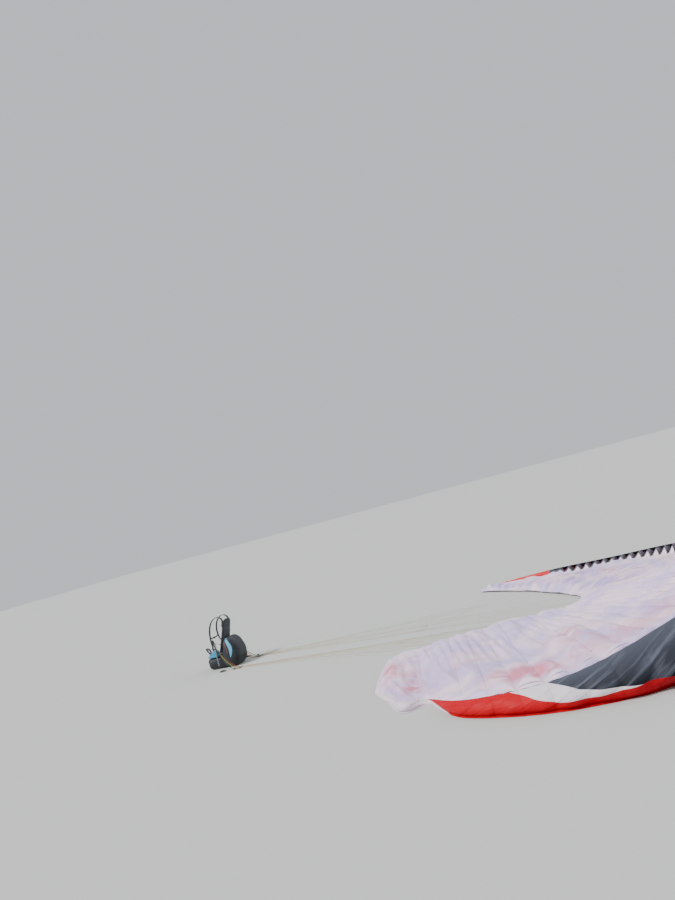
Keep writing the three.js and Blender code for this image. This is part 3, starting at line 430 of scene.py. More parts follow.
def settled(cell, share, a):
    """Lumps and creases of the cloth as it has settled, and the fold across the near tip."""
    span = CELL_WIDTH * cell[:, None]
    lumps = LUMP * waves(span, 0.6 * a, 1.5, seed=7)
    lumps = lumps + SMALL_LUMP * waves(span + 0.3 * a, 0.4 * a, 0.6, seed=17)
    crease = CREASE * (1 - 2 * np.abs(waves(span + 0.5 * a, 0.5 * a, 0.7, seed=8, count=10)))
    across = waves(0.6 * span - 0.6 * a, 0.6 * a, 0.6, seed=18, count=10)
    crease = crease + CROSS_CREASE * (1 - 2 * np.abs(across))
    off_fold = (share - TIP_FOLD_SHARE) - (cell[:, None] - TIP_FOLD_CELL) * TIP_FOLD_SLANT
    fold = TIP_FOLD * np.exp(-np.abs(off_fold) / TIP_FOLD_WIDTH)
    return lumps + crease + fold * np.clip(2 - HALF_CELLS - cell[:, None], 0, 1)


def lower_skin(cell):
    """The lower skin as a grid of cell by way back. It drops steeply behind its front edge and slopes
    to the trailing edge. On the near arm each cell bulges over the lip in a half ellipse. Each cell
    swells between its ribs, higher where the ribs lie closer, with soft waves and creases."""
    nose, trail, height, lean, low, drop = sections(cell)
    chord = np.linalg.norm(trail - nose, axis=1)
    front = lean + FRONT_GAP * closing(cell)
    run = chord - front
    tooth = (1 - np.abs(2 * ((2 * cell) % 1) - 1)) * is_open(cell)
    gape = MOUTH_DEPTH * np.interp(cell, *GAPE)
    mouth = (np.minimum(gape / run, 1.1 * DROP_END) * tooth)[:, None]
    share = mouth + (1 - mouth) * LOWER_SHARES
    steep = np.clip(1 - share / DROP_END, 0, 1)
    slope = np.maximum(0, 1 - share) ** SLOPE_POWER
    low = low + LOWER_LIFT * closing(cell)
    drop = drop[:, None]
    z = low[:, None] + (height - low)[:, None] * (drop * steep + (1 - drop) * slope)
    a = front[:, None] + run[:, None] * share
    points = place(nose, trail, a, z)
    size = cell_sizes(cell, 0.5, 1.25, 4)
    swollen = swell(cell)[:, None]
    near_lip = np.interp(cell, *NEAR_LIP)[:, None]
    away = (share - mouth) * run[:, None] / (PILLOW_DEPTH * size[:, None] * (0.15 + 0.85 * swollen))
    pillow = PILLOW_HEIGHT * near_lip * swollen ** 0.7 * np.sqrt(np.maximum(0, 1 - (2 * away - 1) ** 2))
    bulge = BULGE_HEIGHT * near_lip * swollen * np.exp(-share / 0.15)
    spare = np.minimum(spare_cloth(nose, cell, points), MOST_SPARE)
    puff = BASE_PUFF + gathered(cell, share, a, spare, size) + bulge
    ends = np.clip(share / DROP_END, 0, 1) * np.clip((1 - share) * 12, 0, 1)
    relief = puff * ends + settled(cell, share, a) * ends * np.clip(share * 8, 0.35, 1) + pillow
    groove = SLIT_DEPTH * np.exp(-(mouth_slit(cell, share * run[:, None]) / SLIT_WIDTH) ** 2)
    waving = hem(cell)[:, None] * np.clip((share - 0.7) / 0.3, 0, 1)
    points[:, :, 2] += relief * closing(cell)[:, None] + waving - groove
    under = UNDER_SHARE * middle_height(low, height, share) + LOWER_LIFT
    points[:, :, 2] = np.maximum(points[:, :, 2], under * np.clip(share * 30, 0, 1))
    return points


def flat_coordinates(points, cell):
    """Where each point was on the flat cloth: the way across the cells, and along the panel."""
    way = ways(points)
    return np.stack([np.broadcast_to(CELL_WIDTH * cell[:, None], way.shape), way], axis=2)


def ripstop(tree, shader, wrinkle, colour, creases):
    """Finishes a ripstop cloth: a grid of thicker threads, a stitched seam on every rib, and creases
    from a noise. The real grid is 5 mm and is drawn at 20 mm, as the finest that shows."""
    flat = add_node(tree, "UVMap", {"uv_map": "flat"})
    split = add_node(tree, "SeparateXYZ", links={0: flat.outputs["UV"]})
    cross, along = (add_node(tree, "Math", {"operation": "PINGPONG", 1: 0.01},
                             {0: split.outputs[k]}) for k in (0, 1))
    nearest = add_node(tree, "Math", {"operation": "MINIMUM"},
                       {0: cross.outputs[0], 1: along.outputs[0]})
    thread = add_node(tree, "MapRange", {"From Max": 0.0016, "To Min": 1.0, "To Max": 0.0},
                      {"Value": nearest.outputs[0]})
    cell = add_node(tree, "Attribute", {"attribute_name": "cell"})
    from_rib = add_node(tree, "Math", {"operation": "PINGPONG", 1: 0.5}, {0: cell.outputs["Fac"]})
    seam = add_node(tree, "MapRange",
                    {"From Min": 0.012, "From Max": 0.02, "To Min": 1.0, "To Max": 0.0},
                    {"Value": from_rib.outputs[0]})
    mark = add_node(tree, "Math", {"operation": "MULTIPLY_ADD", 1: 0.5},
                    {0: seam.outputs[0], 2: thread.outputs[0]})
    mark = add_node(tree, "Math", {"operation": "MULTIPLY", 1: 0.15}, {0: mark.outputs[0]})
    shade = add_node(tree, "Mix",
                     {"data_type": "RGBA", "blend_type": "MULTIPLY", 7: linear("#8d8a94")},
                     {0: mark.outputs[0], 6: colour})
    fine = add_node(tree, "Bump", {"Strength": 0.35, "Distance": 0.001},
                    {"Height": thread.outputs[0]})
    sewn = add_node(tree, "Bump", {"Strength": 0.6, "Distance": 0.003, "invert": True},
                    {"Height": seam.outputs[0], "Normal": fine.outputs[0]})
    bump = add_node(tree, "Bump", {"Strength": 0.8, "Distance": wrinkle},
                    {"Height": creases, "Normal": sewn.outputs[0]})
    tree.links.new(shade.outputs[2], shader.inputs["Base Color"])
    tree.links.new(bump.outputs[0], shader.inputs["Normal"])


# The bands of colour round the nose: charcoal down to DARK_EDGE, white down to WHITE_EDGE, then red.
# Columns: share of the half span, share of the way round the nose from lip to ground.
DARK_EDGE = np.array([[0, 0.85], [0.45, 0.8], [0.54, 0.66], [0.585, 0.52], [0.621, 0.46], [0.648, 0.42],
                      [0.674, 0.33], [0.69, 0.2], [0.71, 0.04], [0.73, -0.2]])
WHITE_EDGE = np.array([[0, 0.8], [0.54, 0.6], [0.585, 0.5], [0.624, 0.53], [0.652, 0.56], [0.68, 0.52],
                       [0.707, 0.5], [0.74, 0.32], [0.776, 0], [0.79, -0.2]])
PALE_TIP, PALE_SLANT, PALE_MIDDLE = 0.915, 0.045, 0.4
# Charcoal in the far arm's mouths: cells, and how far down it reaches, in shares of the way round the nose.
MOUTH_CHARCOAL = ([13.5, 14.5, 16, 18.2], [-0.1, 0.4, 0.38, -0.02])
# Painted light on the charcoal: its share of the lighter tint at the lip, and how fast that falls down the
# nose.
PAINTED_LIGHT_LIP, PAINTED_LIGHT_FALL = 0.58, 1.15
# Painted shade on the red in the middle of the wing: the share of the half span where it has faded out, and
# the share over which it fades.
GROUND_SHADE_END, GROUND_SHADE_FADE = 0.62, 0.1


def nose_bands(cell):
    """How far each point lies below the charcoal band and below the white stripe, in shares of the
    way round the nose, how far it is beyond the start of the pale tip or the pale back hem, how much
    painted light lightens the charcoal, most at the lip where it faces the sky, and how much painted
    shade darkens the red, most at the ground in the middle of the wing. The charcoal reaches further
    down in the far arm's mouths."""
    span = np.abs(cell)[:, None] / HALF_CELLS
    way = np.minimum(NOSE_SHARES / NOSE_FOOT, 1.02)[None, :]
    dark = way - np.interp(span, *DARK_EDGE.T)
    white = way - np.interp(span, *WHITE_EDGE.T)
    mouth_charcoal = way - np.interp(cell, *MOUTH_CHARCOAL)[:, None]
    back_hem = 0.1 * (NOSE_SHARES - TRAILING_EDGE + 1)[None, :]
    pale = np.maximum(span - PALE_TIP + PALE_SLANT * (way - PALE_MIDDLE), back_hem)
    return {"below_dark": np.minimum(dark, mouth_charcoal), "below_white": np.minimum(white, mouth_charcoal),
            "beyond_tip": pale, "painted_top_light": PAINTED_LIGHT_LIP - PAINTED_LIGHT_FALL * way + 0 * span,
            "painted_ground_shade": np.clip((GROUND_SHADE_END - span) / GROUND_SHADE_FADE, 0, 1) * np.clip(way, 0, 1)}


upper_cloth, tree, shader = new_material("coated_ripstop_nylon_upper")
shader.inputs["Roughness"].default_value = 0.5
shader.inputs["Specular IOR Level"].default_value = 0.15
flat = add_node(tree, "UVMap", {"uv_map": "flat"})
slanting = add_node(tree, "Mapping", {"vector_type": "TEXTURE", "Rotation": (0, 0, -0.28),
                                                "Scale": (0.55, 0.07, 1.0)}, {"Vector": flat.outputs["UV"]})
folds = add_node(tree, "TexNoise",
                 {"Scale": 1.0, "Detail": 3.0, "Roughness": 0.45, "Distortion": 0.5},
                 {"Vector": slanting.outputs[0]})
# Painted highlight: lighter slanting stripes from the fold noise stand for sheen on the nose wall's creases.
painted_sheen_streaks = add_node(tree, "MapRange", {"From Min": 0.5, "From Max": 0.68},
                   {"Value": folds.outputs[0]})
# Painted light: the charcoal is lighter towards the lip, where it faces the sky.
painted_top_light = add_node(tree, "Attribute", {"attribute_name": "painted_top_light"})
light = add_node(tree, "Math", {"operation": "MULTIPLY_ADD", 1: 0.5, "use_clamp": True},
                 {0: painted_sheen_streaks.outputs[0], 2: painted_top_light.outputs["Fac"]})
colour = add_node(tree, "Mix", {"data_type": "RGBA", 6: linear("#0f1018"), 7: linear("#666a78")},
                  {0: light.outputs[0]})
# Painted shade: the red darkens towards the ground in the middle of the wing.
painted_ground_shade = add_node(tree, "Attribute", {"attribute_name": "painted_ground_shade"})
red = add_node(tree, "Mix", {"data_type": "RGBA", 6: linear("#c40018"), 7: linear("#5e0512")},
               {0: painted_ground_shade.outputs["Fac"]})
for label, tint in (("below_dark", "#e6dce2"), ("below_white", "#c40018"), ("beyond_tip", "#eadbe8")):
    zone = add_node(tree, "Attribute", {"attribute_name": label})
    step = add_node(tree, "MapRange", {"From Min": -0.004, "From Max": 0.004},
                    {"Value": zone.outputs["Fac"]})
    colour = add_node(tree, "Mix", {"data_type": "RGBA", 7: linear(tint)},
                      {0: step.outputs[0], 6: colour.outputs[2]})
    if label == "below_white":
        tree.links.new(red.outputs[2], colour.inputs[7])
ripstop(tree, shader, 0.03, colour.outputs[2], folds.outputs[0])

# Where red panels of the upper skin show through the thin white cloth. Columns: cell, share of the
# way back, reach in cells, reach in shares, strength.
BLUSH = np.array([
    [-20.2, 0.25, 0.5, 0.16, 1.0], [-21.4, 0.6, 0.5, 0.2, 0.7], [-20.8, 0.4, 1.2, 0.5, 0.4],
    [-14.9, 0.15, 1.3, 0.07, 1.0], [-13.0, 0.38, 1.2, 0.08, 0.8], [-16.0, 0.15, 1.0, 0.08, 0.9],
    [-12.2, 0.2, 1.5, 0.1, 0.6], [-9.5, 0.2, 1.5, 0.12, 0.5], [-17.5, 0.45, 1.2, 0.15, 0.35],
    [5.1, 0.8, 1.0, 0.06, 0.6], [12.5, 0.4, 2.0, 0.08, 0.5], [-4.0, 0.35, 2.5, 0.1, 0.35],
    [16.5, 0.3, 1.5, 0.1, 0.4],
])
# The strip of the upper skin's cloth that goes round the lip: cells, and how far back it reaches. It
# is red beyond RED_FROM.
LIP_STRIP = ([-5, -1, 14.9, 17.4, 18.2, 20, 22], [-0.1, 0.035, 0.04, 0.04, 0.12, 0.05, -0.1])
RED_FROM = 17.6


def lower_tints(cell, points):
    """How strongly red shows through the cloth, a sum of soft spots, how far each point lies within
    the strip of the upper skin's cloth that goes round the lip, and how far from a mouth's slit."""
    share = LOWER_SHARES[None, :]
    at = cell[:, None]
    blush = sum(strength * np.exp(-((at - c) / wide) ** 2 - ((share - back) / deep) ** 2)
                for c, back, wide, deep, strength in BLUSH)
    way = ways(points)
    return {"blush": blush, "strip": np.interp(cell, *LIP_STRIP)[:, None] - way,
            "red_strip": at - RED_FROM + 0 * way, "behind_slit": mouth_slit(cell, way)}


lower_cloth, tree, shader = new_material("coated_ripstop_nylon_lower")
shader.inputs["Roughness"].default_value = 0.5
place_node = add_node(tree, "TexCoord")
clouds = add_node(tree, "TexNoise", {"Scale": 3.2, "Detail": 4.0, "Distortion": 1.5},
                  {"Vector": place_node.outputs["Object"]})
blush = add_node(tree, "Attribute", {"attribute_name": "blush"})
amount = add_node(tree, "MapRange", {"From Min": 0.36, "From Max": 0.6},
                  {"Value": clouds.outputs[0]})
amount = add_node(tree, "Math", {"operation": "MULTIPLY"},
                  {0: amount.outputs[0], 1: blush.outputs["Fac"]})
shadows = add_node(tree, "TexNoise", {"Scale": 1.1, "Detail": 3.0, "Distortion": 1.6},
                   {"Vector": place_node.outputs["Object"]})
cool = add_node(tree, "MapRange", {"From Min": 0.42, "From Max": 0.6},
                {"Value": shadows.outputs[0]})
ground = add_node(tree, "Mix", {"data_type": "RGBA", 6: linear("#fae0f3"), 7: linear("#d6c3f1")},
                  {0: cool.outputs[0]})
colour = add_node(tree, "Mix", {"data_type": "RGBA", 7: linear("#e58ca6")},
                  {0: amount.outputs[0], 6: ground.outputs[2]})
far = add_node(tree, "Attribute", {"attribute_name": "red_strip"})
is_red = add_node(tree, "Math", {"operation": "GREATER_THAN", 1: 0.0}, {0: far.outputs["Fac"]})
edging = add_node(tree, "Mix", {"data_type": "RGBA", 6: linear("#343943"), 7: linear("#d4060f")},
                  {0: is_red.outputs[0]})
inside = add_node(tree, "Attribute", {"attribute_name": "strip"})
covered = add_node(tree, "MapRange", {"From Min": -0.002, "From Max": 0.002},
                   {"Value": inside.outputs["Fac"]})
colour = add_node(tree, "Mix", {"data_type": "RGBA"},
                  {0: covered.outputs[0], 6: colour.outputs[2], 7: edging.outputs[2]})
# Painted shade: a dark grey line along the slit of each shut mouth on the near arm, for the shadow in it.
behind = add_node(tree, "Attribute", {"attribute_name": "behind_slit"})
beside = add_node(tree, "Math", {"operation": "ABSOLUTE"}, {0: behind.outputs["Fac"]})
slit = add_node(tree, "MapRange",
                {"From Min": 0.003, "From Max": 0.008, "To Min": 0.85, "To Max": 0.0},
                {"Value": beside.outputs[0]})
colour = add_node(tree, "Mix", {"data_type": "RGBA", 7: linear("#55525e")},
                  {0: slit.outputs[0], 6: colour.outputs[2]})
creases = add_node(tree, "TexNoise",
                   {"Scale": 5.0, "Detail": 3.5, "Roughness": 0.55, "Distortion": 0.6},
                   {"Vector": place_node.outputs["Object"]})
ripstop(tree, shader, 0.02, colour.outputs[2], creases.outputs[0])

for block, (first, last) in BLOCKS.items():
    cell = cell_stations(first, last)
    for side, surface, material in (("upper", upper_skin, upper_cloth), ("lower", lower_skin, lower_cloth)):
        points = surface(cell)
        attributes = {"cell": cell[:, None] * np.ones(points.shape[:2])}
        attributes.update(nose_bands(cell) if side == "upper" else lower_tints(cell, points))
        skin = mesh_piece(f"{side}_cloth_{block}", points, grid_faces(*points.shape[:2]), "root",
                          uv=flat_coordinates(points, cell), attributes=attributes, material=material)
        solid = skin.modifiers.new("cloth thickness", "SOLIDIFY")
        solid.thickness = CLOTH
        solid.offset = 1.0
        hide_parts(f"{side}_skin_{block}")
        inside = np.clip(cell, -HALF_CELLS, HALF_CELLS)
        width = ways(sections(inside)[0])[-1]
        width += sum(reach for end, reach in TIP_REACH.items() if end * HALF_CELLS in (first, last))

# Ribs inside the cells
# White ribs of the same cloth keep the two skins apart, one at each cell edge and one in its middle,
# sewn to both skins. They show through the mouths that are open, and only there they are made.
# Ways back to a rib's cut end: in rows of the nose's outline, and in metres along the lower skin.
RIB_FOOT, RIB_RUN = 5.9, 0.55
OPEN_MOUTHS = (-4.5, OPEN_CELLS)
# The rib's edges lie this far off the two skins, in shares of the way from one to the other.
RIB_EDGES = (0.05, 0.985)
rib_cloth, _, shader = new_material("coated_nylon_rib")
shader.inputs["Base Color"].default_value = linear("#d2ccd8")
shader.inputs["Roughness"].default_value = 0.55


def ribs(cell):
    """Each rib as straight lines from the upper skin's outline to the lower skin, both followed from
    their front edges over the same share of the way to the rib's cut end."""
    steps = np.linspace(0, 1, 36)
    upper, lower = upper_skin(cell), lower_skin(cell)
    upper_index = np.interp(steps * RIB_FOOT, NOSE_SHARES, np.arange(len(NOSE_SHARES)))
    lower_index = np.interp(steps * RIB_RUN, ways(lower).mean(axis=0), np.arange(lower.shape[1]))
    walls = []
    for curve, index in ((upper, upper_index), (lower, lower_index)):
        low = np.floor(index).astype(int)
        part = (index - low)[None, :, None]
        walls.append(curve[:, low] * (1 - part) + curve[:, np.minimum(low + 1, curve.shape[1] - 1)] * part)
    across = np.linspace(*RIB_EDGES, 6)[None, None, :, None]
    return walls[0][:, :, None, :] * (1 - across) + walls[1][:, :, None, :] * across


for block, (first, last) in BLOCKS.items():
    cell = np.arange(first, last, 0.5)
    cell = cell[(cell >= OPEN_MOUTHS[0]) & (cell <= OPEN_MOUTHS[1])]
    if not len(cell):
        continue
    walls = ribs(cell + 1e-4)
    one = grid_faces(walls.shape[1], walls.shape[2])
    faces = np.concatenate([one + k * walls.shape[1] * walls.shape[2] for k in range(len(walls))])
    piece = mesh_piece(f"cell_ribs_{block}", walls, faces, "root", material=rib_cloth)

# Lines
# The lines are polyester braid over a fibre core, one colour for each row. Three main lines of a row
# run from a quick link over the ground, and each forks into three that are sewn to ribs by a tab.
HARNESS = np.array([0.95, 8.6, 0])
SIDES = (("left", -1), ("right", 1))
KNOT_Y, KNOT_Z, KNOT_LENGTH = -0.5796, 0.0045, 0.016
# Columns: x of the quick link, share of the way back at which its lines are sewn on, height on the
# ground, ribs of the three middle lines.
LINE_ROWS = {"a": (0.267, 0.12, 0.002, (4, 9, 15)), "b": (0.325, 0.38, 0.005, (5, 10, 16)),
             "c": (0.383, 0.58, 0.008, (2, 7, 13))}
BRAKE_RIBS, BRAKE_SHARE, BRAKE_HEIGHT = (6, 11, 17, 19), 0.985, 0.011
BRAKE_START = (0.42605, -0.7703, 0.014)
# The right side's lines cross over the left side's, this much higher.
RIGHT_RISE = 0.006
MAIN_LINE, THIN_LINE = 0.00125, 0.0009
# Shares of the way at which the main lines fork, and how far before the cloth the upper lines rise.
ROW_FORK, BRAKE_FORK = 0.62, 0.7
RISE_BEFORE = 0.4
# How pale the upper lines and the tabs are, which have no sheath.
UNSHEATHED = 0.75


def oval(width, thickness, power=2.0, count=16):
    """A closed profile: a superellipse, round at power 2 and flat with rounded edges at a high one."""
    turn = np.linspace(0, 2 * np.pi, count + 1)[:-1]
    wave = np.stack([np.cos(turn), np.sin(turn)], axis=1)
    return np.sign(wave) * np.abs(wave) ** (2 / power) * [width / 2, thickness / 2]


def rod(thickness, count):
    """A round profile with count sides."""
    return oval(thickness, thickness, 2, count)


def sweep(path, profile, across, size=1.0, closed=False):
    """A profile carried along a path. Its first number goes along the width direction across, made
    square to the path, its second along the path's normal, both times size. Open ends get a cap.
    Returns points, faces, and for each point its place across the profile and along the path."""
    path = np.asarray(path, dtype=float)
    ahead = np.roll(path, -1, 0) - np.roll(path, 1, 0) if closed else np.gradient(path, axis=0)
    ahead /= np.linalg.norm(ahead, axis=1)[:, None]
    across = np.broadcast_to(np.asarray(across, dtype=float), path.shape)
    across = across - ahead * (across * ahead).sum(axis=1)[:, None]
    across = across / np.linalg.norm(across, axis=1)[:, None]
    normal = np.cross(ahead, across)
    scale = np.asarray(size, dtype=float)
    scale = np.broadcast_to(scale if scale.ndim == 2 else scale.reshape(-1, 1), (len(path), 2))
    rings = (path[:, None] + across[:, None] * (profile[:, 0] * scale[:, :1])[:, :, None]
             + normal[:, None] * (profile[:, 1] * scale[:, 1:])[:, :, None])
    count, around = len(path), len(profile)
    way = ways(path)
    flat = np.stack(np.broadcast_arrays(profile[None, :, 0] * scale[:, :1], way[:, None]), axis=-1)
    points, flat = rings.reshape(-1, 3), flat.reshape(-1, 2)
    if closed:
        return points, (grid_faces(count + 1, around, True) % (count * around)).tolist(), flat
    faces = grid_faces(count, around, True).tolist()
    last = (count - 1) * around
    faces += [[count * around, (k + 1) % around, k] for k in range(around)]
    faces += [[count * around + 1, last + k, last + (k + 1) % around] for k in range(around)]
    return (np.vstack([points, path[:1], path[-1:]]), faces,
            np.vstack([flat, [[0, 0], [0, way[-1]]]]))


def joined(parts):
    """Several (points, faces, flat) as one."""
    starts = np.cumsum([0] + [len(part[0]) for part in parts])
    faces = [[corner + start for corner in face] for part, start in zip(parts, starts) for face in part[1]]
    return np.vstack([part[0] for part in parts]), faces, np.vstack([part[2] for part in parts])


def over_cloth(rib, share, rise):
    """Points on the lower skin over one rib, from the trailing edge forward to a share of the way."""
    middle = lower_skin(np.array([rib - 0.01, rib, rib + 0.01]))[1]
    kept = middle[LOWER_SHARES >= share][::-1]
    return kept[::2] + [0, 0, rise]


def smooth_path(points, count):
    """A Catmull-Rom curve through the points."""
    points = np.asarray(points, dtype=float)
    return through(points, np.linspace(0, len(points) - 1, count))


def on_ground(start, end, seed, height, slack=0.012):
    """A slack line between two points on the ground, with soft bends in proportion to its length."""
    random = np.random.default_rng(seed)
    t = np.linspace(0, 1, 32)[:, None]
    path = start + (end - start) * t
    aside = np.cross(end - start, [0, 0, 1])
    bends = sum(np.sin(np.pi * k * t + 6 * random.random()) / k for k in (1, 2, 3, 6))
    path = path + aside * slack * bends * np.sin(np.pi * t) ** 0.8
    path[1:-1, 2] = height
    return path


def to_edge(fork, foot, edge, seed, height):
    """A thin line from a fork over the ground to its foot, and from there up to the cloth's edge and
    on over the cloth, with round bends."""
    ground = on_ground(fork, foot, seed, height, 0.03)[:-3:3]
    rise = foot + (edge[0] - foot) * [[0.35, 0.35, 0.12], [0.75, 0.75, 0.55]]
    path = smooth_path(np.vstack([ground, foot, rise, edge[:1]]), 60)
    path[:, 2] = np.maximum(path[:, 2], 0.0012)
    return np.vstack([path, edge[1:]])


def landings(edges, source, height):
    """Where the lines to the cloth's edges leave the ground, each on its way from the source."""
    feet = []
    for edge in edges:
        way = source - edge[0]
        foot = edge[0] + way * [RISE_BEFORE, RISE_BEFORE, 0] / np.linalg.norm(way)
        foot[2] = height + 0.2 * edge[0][2]
        feet.append(foot)
    return feet


def main_line(start, fork, seed, height):
    """A main line on the ground, with the knot at its fork."""
    path = on_ground(start, fork, seed, height)
    knot = 1 + 0.9 * np.exp(-(np.arange(len(path)) - (len(path) - 1.5)) ** 2)
    return sweep(path, rod(2 * MAIN_LINE, 6), (0, 0, 1), size=knot)


def tab(point, ahead):
    """A little loop of sewn tape that stands on the cloth: half a circle along the rib."""
    ahead = ahead / np.linalg.norm(ahead)
    turn = np.linspace(0, np.pi, 9)[:, None]
    loop = point + ahead * 0.007 * np.cos(turn) + np.array([0, 0, 0.009]) * np.sin(turn) - [0, 0, 0.004]
    return sweep(loop, oval(0.008, 0.0012, 4, 8), np.cross(ahead, [0, 0, 1]))


def line_material(name, tint):
    """A braided sheath: slanting strands along the line's own UV, drawn 3 mm long, and a little fading
    from place to place. The upper lines have no sheath and are pale."""
    material, tree, shader = new_material(name)
    shader.inputs["Roughness"].default_value = 0.75
    flat = add_node(tree, "UVMap", {"uv_map": "flat"})
    braid = add_node(tree, "TexWave",
                     {"Scale": 130.0, "Distortion": 2.0, "bands_direction": "DIAGONAL"},
                     {"Vector": flat.outputs["UV"]})
    place_node = add_node(tree, "TexCoord")
    fading = add_node(tree, "TexNoise", {"Scale": 3.0}, {"Vector": place_node.outputs["Object"]})
    faded = add_node(tree, "Math", {"operation": "MULTIPLY", 1: 0.35}, {0: fading.outputs[0]})
    shade = add_node(tree, "Mix", {"data_type": "RGBA", 6: linear(tint), 7: linear("#8f8a80")},
                     {0: faded.outputs[0]})
    bare = add_node(tree, "Attribute", {"attribute_name": "unsheathed"})
    shade = add_node(tree, "Mix", {"data_type": "RGBA", 7: linear("#cfcac0")},
                     {0: bare.outputs["Fac"], 6: shade.outputs[2]})
    bump = add_node(tree, "Bump", {"Strength": 0.5, "Distance": 0.0004},
                    {"Height": braid.outputs[0]})
    tree.links.new(shade.outputs[2], shader.inputs["Base Color"])
    tree.links.new(bump.outputs[0], shader.inputs["Normal"])
    return material


LINE_TINTS = {"a": "#c8342c", "b": "#c3cf35", "c": "#d8d6d0", "brake": "#e8822a"}
line_sheaths = {row: line_material(f"braided_polyester_{row}", tint) for row, tint in LINE_TINTS.items()}

for name, side in SIDES:
    for row, (link_x, share, height, ribs_out) in LINE_ROWS.items():
        height += RIGHT_RISE * (side > 0)
        knot = HARNESS + [side * link_x, KNOT_Y, KNOT_Z]
        turns = np.linspace(0, 1, 6)
        parts = [sweep(knot - [0, KNOT_LENGTH, 0] * turns[:, None], rod(0.0066, 10), (1, 0, 0),
                       size=1 - 0.55 * turns + 0.12 * np.sin(9 * turns))]
        paleness = [0]
        for k, rib in enumerate(ribs_out):
            edges = [over_cloth(side * (rib + step), share, 0.005) for step in (-2, 0, 2)]
            feet = landings(edges, knot, height)
            fork = knot + (feet[1] - knot) * ROW_FORK
            fork[2] = height
            parts.append(main_line(knot - [0, 0.75 * KNOT_LENGTH, 0], fork, 10 * k + rib, height))
            paleness.append(0)
            for branch, (edge, foot) in enumerate(zip(edges, feet)):
                path = to_edge(fork, foot, edge, 7 * branch + rib, height)
                parts.append(sweep(path, rod(2 * THIN_LINE, 6), (0, 0, 1)))
                parts.append(tab(edge[-1], edge[-1] - edge[-2]))
                paleness += [UNSHEATHED, UNSHEATHED]
        points, faces, flat = joined(parts)
        bare = np.concatenate([np.full(len(part[0]), pale) for part, pale in zip(parts, paleness)])
        lines = mesh_piece(f"line_row_{row}_{name}", points, faces, "root", uv=flat,
                           attributes={"unsheathed": bare}, material=line_sheaths[row])
        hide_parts(f"lines_{row}_{name}")

    start = HARNESS + np.array(BRAKE_START) * [side, 1, 1]
    height = BRAKE_HEIGHT + RIGHT_RISE * (side > 0)
    edges = [over_cloth(side * rib, BRAKE_SHARE, 0.004)[:1] for rib in BRAKE_RIBS]
    feet = landings(edges, start, height)
    fork = start + (feet[1] - start) * BRAKE_FORK
    fork[2] = height
    points, faces, flat = main_line(start, fork, 40 + side, height)
    pulled = mesh_piece(f"brake_main_line_{name}", points, faces, None, uv=flat,
                        material=line_sheaths["brake"])
    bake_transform(pulled)
    parts = []
    for k, (edge, foot) in enumerate(zip(edges, feet)):
        path = to_edge(fork, foot, edge, 50 + k, height)
        parts.append(sweep(path, rod(2 * THIN_LINE, 6), (0, 0, 1)))
        parts.append(tab(edge[0], (edge[0] - foot) * [1, 1, 0]))
    points, faces, flat = joined(parts)
    lines = mesh_piece(f"brake_lines_{name}", points, faces, "root", uv=flat,
                       attributes={"unsheathed": np.full(len(points), UNSHEATHED)},
                       material=line_sheaths["brake"])
    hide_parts(f"lines_brake_{name}")

# Quick links
# Small oval links of stainless steel wire join each riser strap to its lines. A threaded sleeve with
# six flats closes the open side.
LINK_Y, LINK_Z = -0.5623, 0.0052
LINK_HALF_WIDTH, LINK_HALF_LENGTH, LINK_ROUND = 0.0071, 0.0151, 0.0066
LINK_WIRE, SLEEVE_WIDTH, SLEEVE_HALF = 0.0038, 0.0072, 0.006


def rounded_loop(half_width, half_length, radius, count=12):
    """A closed loop of four straight sides and four quarter circles, anticlockwise from the right."""
    turn = np.linspace(0, np.pi / 2, count)
    corners = [(1, 1, 0), (-1, 1, 1), (-1, -1, 2), (1, -1, 3)]
    rows = [np.stack([x * (half_width - radius) + radius * np.cos(turn + k * np.pi / 2),
                      y * (half_length - radius) + radius * np.sin(turn + k * np.pi / 2)], axis=1)
            for x, y, k in corners]
    return np.vstack(rows)


def metal(name, tint, roughness, scratch):
    """A metal with fine scratches: a stretched noise in the roughness and a shallow bump."""
    material, tree, shader = new_material(name)
    shader.inputs["Metallic"].default_value = 1.0
    shader.inputs["Base Color"].default_value = linear(tint)
    place_node = add_node(tree, "TexCoord")
    along = add_node(tree, "Mapping", {"Scale": (1.0, 6.0, 1.0)},
                     {"Vector": place_node.outputs["Object"]})
    noise = add_node(tree, "TexNoise", {"Scale": 260.0, "Detail": 4.0},
                     {"Vector": along.outputs[0]})
    rough = add_node(tree, "MapRange", {"To Min": roughness - 0.08, "To Max": roughness + 0.14},
                     {"Value": noise.outputs[0]})
    bump = add_node(tree, "Bump", {"Strength": scratch, "Distance": 0.0003},
                    {"Height": noise.outputs[0]})
    tree.links.new(rough.outputs[0], shader.inputs["Roughness"])
    tree.links.new(bump.outputs[0], shader.inputs["Normal"])
    return material


